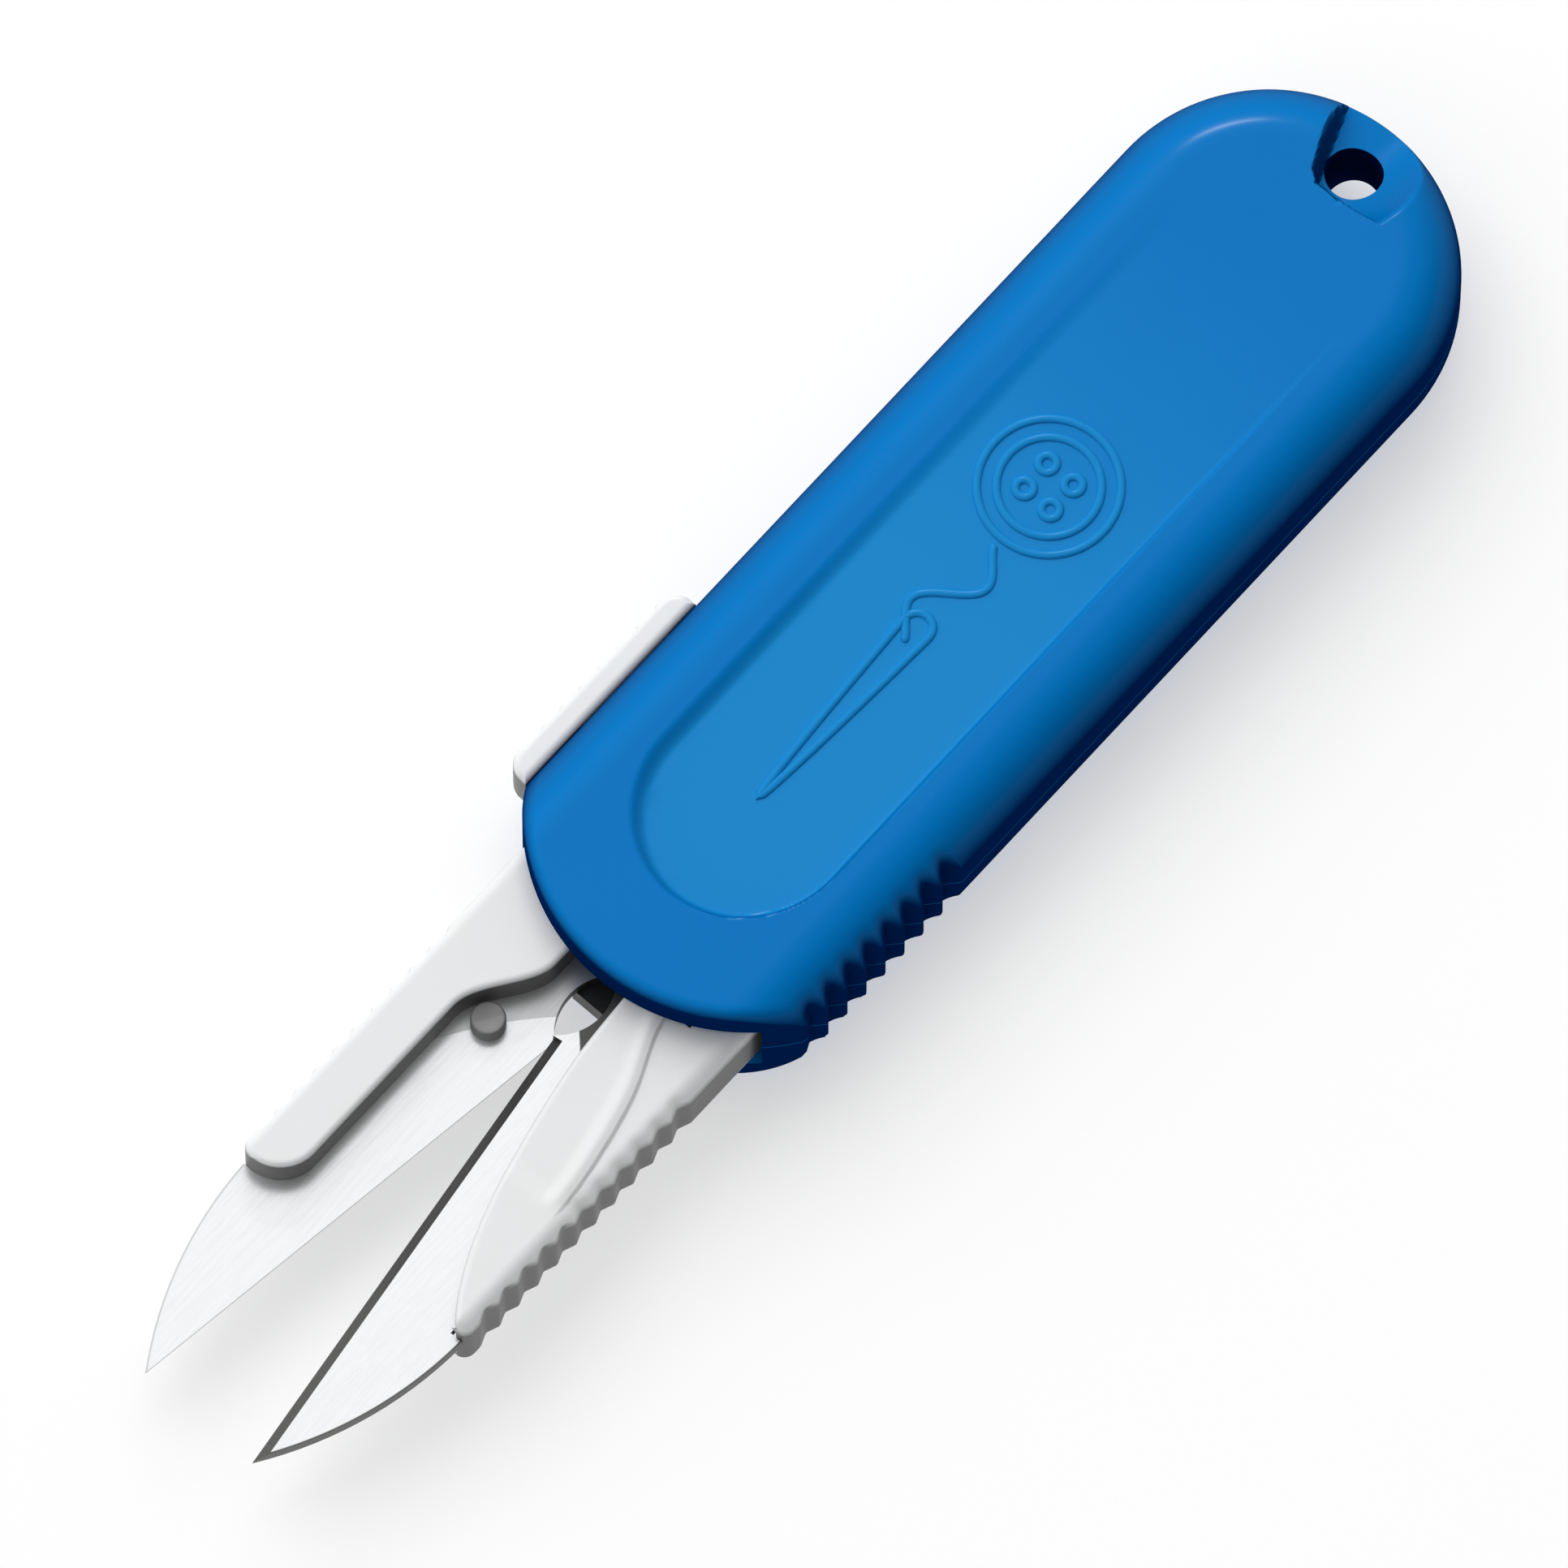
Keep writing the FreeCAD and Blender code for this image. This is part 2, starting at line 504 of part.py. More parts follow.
def make_opening_spring():
    """A torsion spring round the pivot, its legs pushing the arms apart."""
    helix = Part.makeHelix(COIL_PITCH, COIL_TURNS * COIL_PITCH, COIL_RADIUS)
    helix.rotate(V(0, 0, 0), UP, 90 - COIL_LEG_DEG)
    helix.translate(V(PIVOT_X, 0, MID + COIL_FLOOR + COIL_WIRE / 2))
    start, along = leg_ends(RIGHT)
    section = Part.Wire(Part.makeCircle(COIL_WIRE / 2, start, along))
    coil = Part.Wire(helix.Edges).makePipeShell([section], True, True)
    legs = []
    for side in (RIGHT, LEFT):
        root, direction = leg_ends(side)
        legs.append(Part.makeCylinder(COIL_WIRE / 2, COIL_LEG_LENGTH, root, direction))
    return {"opening_spring": coil.fuse(legs).removeSplitter()}


def leg_slot(side, near_gap, far_gap):
    """Room for one spring leg, wider on the side that the arm turns away to."""
    start, along = leg_ends(side)
    across = V(-side * along.y, side * along.x, 0)
    low = start - across * (COIL_WIRE / 2 + near_gap)
    width = COIL_WIRE + near_gap + far_gap
    corners = [low, low + along * (COIL_LEG_LENGTH + LEG_GAP)]
    corners.append(corners[1] + across * width)
    corners.append(low + across * width)
    corners.append(low)
    face = Part.Face(Part.Wire(path(corners)))
    face.translate(V(0, 0, -COIL_WIRE / 2 - LEG_GAP))
    return face.extrude(V(0, 0, COIL_WIRE + 2 * LEG_GAP))


# ---- Blades -----------------------------------------------------------------------------------------

def edge_angle():
    """Angle of each open cutting edge to the long axis."""
    return math.atan2(TIP_OFFSET, TIP_X - PIVOT_X - CROSSING_AHEAD)


def heel_point():
    """Inner end of the cutting edge, just behind the crossing: distance along X and out."""
    x = PIVOT_X + CROSSING_AHEAD - HEEL_LENGTH
    return x, -HEEL_LENGTH * math.tan(edge_angle())


def blade_plan(side):
    """Plan of one blade, from its tip along the edge to the tang and back along its back."""
    heel_x, heel_out = heel_point()
    tip = side_point(TIP_X, TIP_OFFSET, side)
    heel = side_point(heel_x, heel_out, side)
    hollow = side_point(heel_x - HEEL_RELIEF_LENGTH / 2, HEEL_RELIEF, side)
    root = side_point(heel_x - HEEL_RELIEF_LENGTH, HEEL_ROOT_OFFSET, side)
    inner = side_point(PIVOT_X + TANG_DISC_RADIUS / 2, -TANG_DISC_RADIUS / 4, side)
    centre = side_point(PIVOT_X, 0, side)
    outer = side_point(PIVOT_X + TANG_DISC_RADIUS / 3, TANG_DISC_RADIUS * 0.9, side)
    back_out = ARM_HALF - BLADE_BACK_INSET
    cover_out = ARM_HALF - TANG_COVER
    neck = side_point(PIVOT_X + NOSE_RADIUS, NOSE_RADIUS, side)
    widen = side_point(PIVOT_X + CROSSING_AHEAD + NOSE_RADIUS, cover_out, side)
    inside = side_point(ARM_END_X, cover_out, side)
    shoulder = side_point(ARM_END_X, back_out, side)
    middle_x = (ARM_END_X + TIP_X) / 2
    bow = side_point(middle_x, (back_out + TIP_OFFSET) / 2 + BLADE_BOW, side)
    edges = [line(tip, heel), arc(heel, hollow, root)]
    edges += path([root, inner, centre, outer, neck, widen, inside, shoulder])
    edges.append(arc(shoulder, bow, tip))
    return edges


def blade_levels(side):
    """Bottom and top of one blade: the right one lies under the shear plane, the left one over it."""
    if side == RIGHT:
        return -TANG_TOP, -SHEAR_GAP / 2
    return SHEAR_GAP / 2, TANG_TOP


def blade_blank(side):
    low, high = blade_levels(side)
    plate = prism(blade_plan(side), low, high)
    return plate.fuse(post(PIVOT_X, 0, TANG_DISC_RADIUS, low, high)).removeSplitter()


def edge_bevel(side):
    """The wedge ground off along the cutting edge, on the face away from the other blade."""
    low, high = blade_levels(side)
    face_z = high if side == LEFT else low
    away = 1 if side == LEFT else -1
    heel_x, heel_out = heel_point()
    heel = side_point(heel_x, heel_out, side, MID + face_z)
    tip = side_point(TIP_X, TIP_OFFSET, side, MID + face_z)
    along = (tip - heel).normalize()
    inward = V(-side * along.y, side * along.x, 0)
    slope = (BLADE_THICKNESS - EDGE_LAND) / BEVEL_WIDTH
    over = 0.3
    corners = [heel + inward * (BEVEL_WIDTH + over / slope) + UP * (away * over),
               heel - inward * over + UP * (away * over),
               heel - inward * over - UP * (away * (BLADE_THICKNESS - EDGE_LAND + over * slope))]
    corners.append(corners[0])
    return Part.Face(Part.Wire(path(corners))).extrude(tip - heel + along * over)


def make_blades():
    """The two pointed blades, which pass each other like scissors."""
    hole = post(PIVOT_X, 0, PIVOT_RADIUS + PIVOT_CLEARANCE, -HALF_THICK, HALF_THICK)
    blades = {}
    for name, side in (("blade_left", LEFT), ("blade_right", RIGHT)):
        blades[name] = blade_blank(side).cut([hole, edge_bevel(side)])
    shank = stud_post(STUD_SHANK_RADIUS, -TANG_TOP, 0)
    blades["blade_right"] = blades["blade_right"].cut(shank)
    return blades


def stud_post(radius, low, high):
    return post(PIVOT_X + STUD_AHEAD, RIGHT * STUD_OFFSET, radius, low, high)


def make_stop_stud():
    """The stud on the right blade that the left blade's edge comes to rest against."""
    top = -SHEAR_GAP / 2
    head = stud_post(STUD_HEAD_RADIUS, top, STUD_HEIGHT)
    shank = stud_post(STUD_SHANK_RADIUS, -TANG_TOP, top)
    return {"stop_stud": head.fuse(shank).removeSplitter()}


# ---- Arms -------------------------------------------------------------------------------------------

def arm_start(inner_out):
    """Where an arm's inner edge meets the round hollow about the carriage nose."""
    reach = NOSE_RADIUS + NOSE_CLEARANCE
    return PIVOT_X + math.sqrt(reach ** 2 - inner_out ** 2)


def tail_edges(inner_out, side, outer_end):
    """The arm's outer edge from its end round the tail to the start of its inner edge."""
    reach = NOSE_RADIUS + NOSE_CLEARANCE
    stop_out = NOSE_RADIUS + TAIL_STOP_GAP
    tail_x = PIVOT_X - ARM_TAIL
    meet_x = PIVOT_X + math.sqrt(reach ** 2 - stop_out ** 2)
    start_x = arm_start(inner_out)
    middle_turn = (math.atan2(stop_out, meet_x - PIVOT_X) + math.atan2(inner_out, start_x - PIVOT_X)) / 2
    tail_out = ARM_HALF - BLADE_BACK_INSET
    edges = path([outer_end, side_point(PIVOT_X, ARM_HALF, side), side_point(tail_x, tail_out, side),
                  side_point(tail_x, stop_out, side), side_point(meet_x, stop_out, side)])
    edges.append(arc(side_point(meet_x, stop_out, side),
                     side_point(PIVOT_X + reach * math.cos(middle_turn), reach * math.sin(middle_turn), side),
                     side_point(start_x, inner_out, side)))
    return edges


def right_arm_plan():
    """The slender arm: a bar along the outside, swelling to the pivot in one S-curve."""
    side = RIGHT
    inner = ARM_HALF - ARM_WALL_RIGHT
    r = ARM_END_RADIUS
    slant = r * (1 - math.cos(math.radians(45)))
    root_x = arm_start(RIGHT_ROOT_WIDTH)
    swell = [side_point(root_x, RIGHT_ROOT_WIDTH, side)]
    for beyond, share in RIGHT_SWELL:
        swell.append(side_point(MOUTH_X + beyond, RIGHT_ROOT_WIDTH + share * (inner - RIGHT_ROOT_WIDTH), side))
    corner = side_point(ARM_END_X - r, inner, side)
    turned = side_point(ARM_END_X, inner + r, side)
    outer_end = side_point(ARM_END_X, ARM_HALF, side)
    edges = [spline(swell), line(swell[-1], corner),
             arc(corner, side_point(ARM_END_X - slant, inner + slant, side), turned),
             line(turned, outer_end)]
    return edges + tail_edges(RIGHT_ROOT_WIDTH, side, outer_end)


def shares_of_arm(shares):
    """Points of the left arm given as shares of its length beyond the mouth and of the half span."""
    return [side_point(MOUTH_X + along * ARM_LENGTH_OUT, out * ARM_HALF, LEFT) for along, out in shares]


def left_arm_plan():
    """The leaf-shaped arm: its inner edge sweeps out to the end in one long curve."""
    side = LEFT
    root_x = arm_start(LEFT_ROOT_WIDTH)
    sweep = [side_point(root_x, LEFT_ROOT_WIDTH, side)] + shares_of_arm(LEFT_SWEEP)
    outer_end = side_point(ARM_END_X, ARM_HALF, side)
    return [spline(sweep), line(sweep[-1], outer_end)] + tail_edges(LEFT_ROOT_WIDTH, side, outer_end)


def left_arm_step():
    """The lower pad along the outer edge of the left arm's top face."""
    border = shares_of_arm(LEFT_STEP)
    far = side_point(border[-1].x, ARM_HALF + CUT_OVER, LEFT)
    near = side_point(border[0].x, ARM_HALF + CUT_OVER, LEFT)
    edges = [spline(border)] + path([border[-1], far, near, border[0]])
    return prism(edges, HALF_THICK - STEP_DEPTH, HALF_THICK + CUT_OVER)


def arm_teeth(side, plain_ends):
    """Grip teeth along the outer edge of an arm, short of the mouth and of the arm's end."""
    start, short = plain_ends
    count = int((ARM_LENGTH_OUT - short - start) / TOOTH_PITCH)
    return teeth(MOUTH_X + start + TOOTH_PITCH / 2, count, side * ARM_HALF, -side, -HALF_THICK, HALF_THICK)


def blade_pass():
    """Room in the left arm for the right blade's heel and edge, which swing under it as the arms shut."""
    heel_x, _ = heel_point()
    far_x = MOUTH_X + LEFT_SWEEP[1][0] * ARM_LENGTH_OUT
    shut_angle = math.radians(2 * CLOSE_DEG) - edge_angle()
    edge_out = (far_x - PIVOT_X) * math.tan(shut_angle) + CROSSING_AHEAD * math.sin(edge_angle())
    return slab(heel_x - HEEL_RELIEF_LENGTH / 2, far_x, 0, edge_out + BLADE_PASS_GAP,
                -TANG_TOP - FACE_GAP, SHEAR_GAP / 2)


def make_arms():
    """The two finger arms, each moulded over its blade."""
    right = prism(right_arm_plan(), -HALF_THICK, HALF_THICK)
    right = right.cut(arm_teeth(RIGHT, RIGHT_TEETH))
    right = right.cut([blade_blank(RIGHT), leg_slot(RIGHT, LEG_GAP, LEG_SWEEP)])
    left = prism(left_arm_plan(), -HALF_THICK, HALF_THICK)
    left = left.cut(arm_teeth(LEFT, LEFT_TEETH) + [left_arm_step()])
    left = left.cut([blade_blank(LEFT), leg_slot(LEFT, LEG_GAP, LEG_SWEEP), blade_pass()])
    return {"finger_arm_right": right, "finger_arm_left": left}


def main():
    os.makedirs("parts", exist_ok=True)
    nodes = {}
    for make in (make_case, make_carriage, make_carriage_rivets, make_button, make_detent_spring,
                 make_pivot, make_opening_spring, make_blades, make_stop_stud, make_arms):
        nodes.update(make())
    for name, shape in nodes.items():
        box = shape.optimalBoundingBox()
        print(f"{name}: valid {shape.isValid()}, solids {len(shape.Solids)}, volume {shape.Volume:.2f}, "
              f"x {box.XMin:.2f}..{box.XMax:.2f}, y {box.YMin:.2f}..{box.YMax:.2f}, "
              f"z {box.ZMin:.2f}..{box.ZMax:.2f}")
        shape.exportStep(f"parts/{name}.step")


main()
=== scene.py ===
import json
import logging
import math
from collections.abc import Callable, Sequence
from dataclasses import dataclass, field
from enum import Enum

import bmesh
import bpy
import numpy as np
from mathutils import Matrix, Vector


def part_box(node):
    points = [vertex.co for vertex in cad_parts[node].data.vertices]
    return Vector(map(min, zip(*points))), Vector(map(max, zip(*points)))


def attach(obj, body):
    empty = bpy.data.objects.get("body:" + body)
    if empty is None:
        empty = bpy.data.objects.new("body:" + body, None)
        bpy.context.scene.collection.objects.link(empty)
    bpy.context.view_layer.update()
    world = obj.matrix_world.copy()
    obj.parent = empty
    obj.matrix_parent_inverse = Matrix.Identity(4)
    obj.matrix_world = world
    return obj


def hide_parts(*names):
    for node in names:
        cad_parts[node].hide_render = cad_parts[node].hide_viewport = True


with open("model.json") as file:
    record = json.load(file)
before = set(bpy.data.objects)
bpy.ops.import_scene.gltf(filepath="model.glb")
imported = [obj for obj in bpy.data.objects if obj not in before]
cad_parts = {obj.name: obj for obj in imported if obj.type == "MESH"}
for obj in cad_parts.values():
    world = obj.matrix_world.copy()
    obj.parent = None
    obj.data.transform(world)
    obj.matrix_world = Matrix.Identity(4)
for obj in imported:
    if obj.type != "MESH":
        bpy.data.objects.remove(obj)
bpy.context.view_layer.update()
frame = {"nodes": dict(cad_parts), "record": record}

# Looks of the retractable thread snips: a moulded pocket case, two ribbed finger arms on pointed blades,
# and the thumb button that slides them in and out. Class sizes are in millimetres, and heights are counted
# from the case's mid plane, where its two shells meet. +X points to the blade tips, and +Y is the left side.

MM = 0.001
LOG = logging.getLogger("thread_snips")
Array = np.ndarray
Profile = Callable[[Array], Array]

TIP_COVER = 2.4             # tips inside the lip when the blades are in
SLIDE_GAP = 0.3             # carriage to the side walls
END_GAP = 0.6               # carriage to the end of the cavity, fully in
FACE_GAP = 0.2              # arms and carriage to the cavity's floor and roof
TOOTH_PITCH = 1.9
STEM_HALF = 5.0             # half the length of the button's stem
STEM_BEHIND = 11.5          # middle of the button's stem, behind the pivot


class Side(Enum):
    """The side of the long axis that a piece is on."""

    LEFT = 1
    RIGHT = -1


class Half(Enum):
    """The half of the case that a shell is."""

    UPPER = 1
    LOWER = -1


class Carve(Enum):
    """What a tool shape does to a piece."""

    CUT = "DIFFERENCE"
    JOIN = "UNION"


# ---- Frame ----

def corners_mm(node: str) -> tuple[Vector, Vector]:
    """Lowest and highest corner of a frame node, in millimetres."""
    low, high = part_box(node)
    return Vector(low) / MM, Vector(high) / MM


@dataclass(frozen=True)
class Layout:
    """Places and sizes that every sub-assembly shares, read from the frame."""

    mid_z: float
    rise: float
    mouth_x: float
    case_half: float
    pivot_x: float
    cord_x: float
    cavity_half: float
    cavity_end_x: float
    travel: float
    arm_half: float
    arm_rise: float
    arm_end_x: float
    arm_tail_x: float
    tang_top: float
    shear_gap: float

    @classmethod
    def from_frame(cls) -> "Layout":
        """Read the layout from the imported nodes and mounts."""
        _, shell_high = corners_mm("case_lower_shell")
        pivot_low, pivot_high = corners_mm("pivot_washer")
        arm_low, arm_high = corners_mm("finger_arm_left")
        blade_low, blade_high = corners_mm("blade_left")
        carriage_low, carriage_high = corners_mm("slide_carriage")
        cord = next(mount for mount in frame["record"]["mounts"] if mount["name"] == "cord_hole")
        travel = blade_high.x - shell_high.x + TIP_COVER
        mid = shell_high.z
        return cls(
            mid_z=mid,
            rise=corners_mm("case_upper_shell")[1].z - mid,
            mouth_x=shell_high.x,
            case_half=shell_high.y,
            pivot_x=(pivot_low.x + pivot_high.x) / 2,
            cord_x=cord["pos_m"][0] / MM,
            cavity_half=carriage_high.y + SLIDE_GAP,
            cavity_end_x=carriage_low.x - travel - END_GAP,
            travel=travel,
            arm_half=arm_high.y,
            arm_rise=arm_high.z - mid,
            arm_end_x=arm_high.x,
            arm_tail_x=arm_low.x,
            tang_top=blade_high.z - mid,
            shear_gap=2 * (blade_low.z - mid),
        )


# ---- Curves ----

def ease(low: float, high: float, value: Array) -> Array:
    """Rise smoothly from 0 at low to 1 at high."""
    share = np.clip((np.asarray(value, dtype=float) - low) / (high - low), 0.0, 1.0)
    return share * share * (3.0 - 2.0 * share)


def lower_of(first: Array, second: Array, blend: float) -> Array:
    """The lower of two heights, melted together over a blend width."""
    share = np.clip(0.5 + 0.5 * (second - first) / blend, 0.0, 1.0)
    return second + (first - second) * share - blend * share * (1.0 - share)


def round_over(height: Array | float, radius: float, inside: Array) -> Array:
    """Lower a height where it is less than a radius inside an edge, so that the edge is rounded."""
    gone = radius - np.clip(inside, 0.0, radius)
    return height - radius + np.sqrt(np.maximum(radius * radius - gone * gone, 0.0))


def tooth_depth(x: Array, first_x: float, count: int, depth: float) -> Array:
    """Depth at x of a row of V-grooves, whose first has its middle at first_x."""
    along = (np.asarray(x, dtype=float) - first_x) / TOOTH_PITCH + 0.5
    inside = (along >= 0) & (along <= count)
    return np.where(inside, depth * (1.0 - np.abs(2.0 * (along % 1.0) - 1.0)), 0.0)


def smooth_through(points: Sequence[tuple[float, float]]) -> Profile:
    """A smooth curve through points that doesn't overshoot them.

    Args:
        points: Places as (x, y), in order of x.

    Returns:
        A function from x to y, level beyond the ends.
    """
    knots = np.array(points, dtype=float)
    x, y = knots[:, 0], knots[:, 1]
    step = np.diff(x)
    slope = np.diff(y) / step
    tangent = np.empty(len(x))
    tangent[0], tangent[-1] = slope[0], slope[-1]
    product = slope[:-1] * slope[1:]
    total = np.where(product > 0, slope[:-1] + slope[1:], 1.0)
    tangent[1:-1] = np.where(product > 0, 2.0 * product / total, 0.0)

    def curve(places: Array) -> Array:
        """Cubic pieces between the knots."""
        places = np.clip(np.asarray(places, dtype=float), x[0], x[-1])
        index = np.clip(np.searchsorted(x, places, side="right") - 1, 0, len(step) - 1)
        width = step[index]
        share = (places - x[index]) / width
        rest = 1.0 - share
        ends = y[index] * (1 + 2 * share) * rest**2 + y[index + 1] * share**2 * (3 - 2 * share)
        return ends + width * (tangent[index] * share * rest**2 - tangent[index + 1] * share**2 * rest)

    return curve


# ---- Meshes ----

def link(name: str, data: bpy.types.ID) -> bpy.types.Object:
    """Add an object on some data to the scene."""
    made = bpy.data.objects.new(name, data)
    bpy.context.scene.collection.objects.link(made)
    return made


def lift(plan: Array, level: Array | float) -> Array:
    """Places in plan, set at a height."""
    return np.column_stack([plan, np.broadcast_to(level, len(plan))])


def circle(turns: Array, centre: tuple[float, float], radius: Array | float) -> Array:
    """Places in plan at some turns round a centre, with turns in radians."""
    return np.column_stack([centre[0] + radius * np.cos(turns), centre[1] + radius * np.sin(turns)])


class Shaper:
    """Makes and trims mesh pieces from places in millimetres."""

    weld = 0.003
    sharp_deg = 32.0

    def __init__(self, layout: Layout) -> None:
        """Keep the layout, whose mid plane heights are counted from."""
        self.layout = layout

    def loft(self, name: str, rings: Array, looped: bool = False, tube: bool = True) -> bpy.types.Object:
        """Make a closed, smooth-shaded piece through a row of rings.

        Args:
            name: Name of the piece.
            rings: Places by ring and point, each as x, y and height.
            looped: Whether the last ring runs back into the first. If not, both ends are capped.
            tube: Whether each ring closes on itself.

        Returns:
            The new object, linked to the scene.
        """
        count, width = rings.shape[:2]
        here = np.arange(count * width).reshape(count, width)
        ahead = np.roll(here, -1, axis=0)
        quads = np.stack([here, ahead, np.roll(ahead, -1, axis=1), np.roll(here, -1, axis=1)], axis=-1)
        faces = quads[:count if looped else -1, :width if tube else -1].reshape(-1, 4).tolist()
        if not looped:
            faces += [here[0].tolist(), here[-1][::-1].tolist()]
        places = rings.reshape(-1, 3) + np.array([0.0, 0.0, self.layout.mid_z])
        mesh = bpy.data.meshes.new(name)
        mesh.from_pydata((places * MM).tolist(), [], faces)
        work = bmesh.new()
        work.from_mesh(mesh)
        bmesh.ops.remove_doubles(work, verts=work.verts, dist=self.weld * MM)
        bmesh.ops.recalc_face_normals(work, faces=work.faces)
        work.to_mesh(mesh)
        work.free()
        piece = link(name, mesh)
        self.shade(piece)
        return piece

    def shade(self, piece: bpy.types.Object) -> None:
        """Shade smooth, with the true edges kept crisp."""
        piece.data.shade_smooth()
        piece.data.set_sharp_from_angle(angle=math.radians(self.sharp_deg))

    def carve(self, piece: bpy.types.Object, tool: bpy.types.Object, how: Carve = Carve.CUT) -> None:
        """Cut a tool shape from a piece, or join it on, and remove the tool."""
        modifier = piece.modifiers.new("carve", "BOOLEAN")
        modifier.operation = how.value
        modifier.solver = "EXACT"
        modifier.object = tool
        settled = piece.evaluated_get(bpy.context.evaluated_depsgraph_get())
        mesh = bpy.data.meshes.new_from_object(settled)
        spent = (piece.data, tool.data)
        piece.modifiers.clear()
        piece.data = mesh
        mesh.name = piece.name
        bpy.data.objects.remove(tool)
        for old in spent:
            bpy.data.meshes.remove(old)
        self.shade(piece)

    def prism(self, name: str, outline: Array, low: float, high: float) -> bpy.types.Object:
        """A flat-ended solid on an outline in plan, between two heights."""
        return self.loft(name, np.stack([lift(outline, low), lift(outline, high)]))

    def bar_across(self, name: str, outline: Array, y_low: float, y_high: float) -> bpy.types.Object:
        """A solid on an outline in x and height, pushed through along Y."""
        return self.loft(name, np.stack([lift(outline, y_low), lift(outline, y_high)])[..., [0, 2, 1]])

    def box(self, name: str, low: Sequence[float], high: Sequence[float]) -> bpy.types.Object:
        """A square-cornered tool shape between two corners."""
        outline = np.array([(low[0], low[1]), (high[0], low[1]), (high[0], high[1]), (low[0], high[1])])
        return self.prism(name, outline, low[2], high[2])

    def turned(self, name: str, centre: tuple[float, float], profile: Sequence[tuple[float, float]],
               segments: int = 72) -> bpy.types.Object:
        """A turned piece about an upright axis.

        Args:
            name: Name of the piece.
            centre: The axis in plan.
            profile: Radius and height of each turned line, from one end to the other.
            segments: Faces round the axis.

        Returns:
            The new object.
        """
        turns = np.arange(segments) * 2 * math.pi / segments
        return self.loft(name, np.stack([lift(circle(turns, centre, radius), height)
                                         for radius, height in profile]))

    def ribbon(self, name: str, path: Array, width: float, low: float, high: float) -> bpy.types.Object:
        """An upright tool shape of even width along a path in plan, between two heights."""
        ahead = np.gradient(path, axis=0)
        ahead /= np.linalg.norm(ahead, axis=1)[:, None]
        across = np.column_stack([-ahead[:, 1], ahead[:, 0]]) * width / 2
        corners = ((across, low), (-across, low), (-across, high), (across, high))
        return self.loft(name, np.stack([lift(path + offset, level) for offset, level in corners], axis=1))


def stadium(x_low: float, x_high: float, half: float, segments: int = 24) -> Array:
    """Outline with round ends, in x and height, centred on the mid plane."""
    turns = np.linspace(-math.pi / 2, math.pi / 2, segments)
    return np.vstack([circle(turns, (x_high - half, 0.0), half),
                      circle(turns + math.pi, (x_low + half, 0.0), half)])


def dress(piece: bpy.types.Object, finish: bpy.types.Material) -> None:
    """Give a whole piece one finish."""
    piece.data.materials.clear()
    piece.data.materials.append(finish)


def place(piece: bpy.types.Object, finish: bpy.types.Material, body: str, slot: str, *nodes: str) -> None:
    """Dress a finished piece and hand it to the frame.

    Args:
        piece: The piece.
        finish: Its material.
        body: The body that it rides on.
        slot: The record's material slot. Not used.
        nodes: The frame nodes that it stands for.
    """
    dress(piece, finish)
    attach(piece, body)
    if nodes:
        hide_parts(*nodes)
    LOG.info("%s: %d faces on body %s", piece.name, len(piece.data.polygons), body)


# ---- Shader maths ----

Colour = tuple[float, float, float]


class Signal:
    """A number that varies over a surface; an expression on it adds its Math nodes."""

    def __init__(self, graph: "Graph", socket: bpy.types.NodeSocket) -> None:
        """Wrap one output socket of a graph."""
        self.graph = graph
        self.socket = socket

    def __add__(self, other: "Signal | float") -> "Signal":
        """Sum of this and a number or signal."""
        return self.graph.maths("ADD", self, other)

    def __mul__(self, other: "Signal | float") -> "Signal":
        """Product of this and a number or signal."""
        return self.graph.maths("MULTIPLY", self, other)

    def __sub__(self, other: "Signal | float") -> "Signal":
        """This less a number or signal."""
        return self.graph.maths("SUBTRACT", self, other)

    def __rsub__(self, other: "Signal | float") -> "Signal":
        """A number or signal less this."""
        return self.graph.maths("SUBTRACT", other, self)

    def __abs__(self) -> "Signal":
        """This without its sign."""
        return self.graph.maths("ABSOLUTE", self)

    __radd__ = __add__
    __rmul__ = __mul__

    def clipped(self, low: float, high: float) -> "Signal":
        """0 below low and 1 above high, with an even rise between them."""
        inputs = {"Value": self, "From Min": low, "From Max": high}
        node = self.graph.node("ShaderNodeMapRange", inputs, clamp=True)
        return Signal(self.graph, node.outputs["Result"])


Value = Signal | bpy.types.NodeSocket | float | Sequence[float]


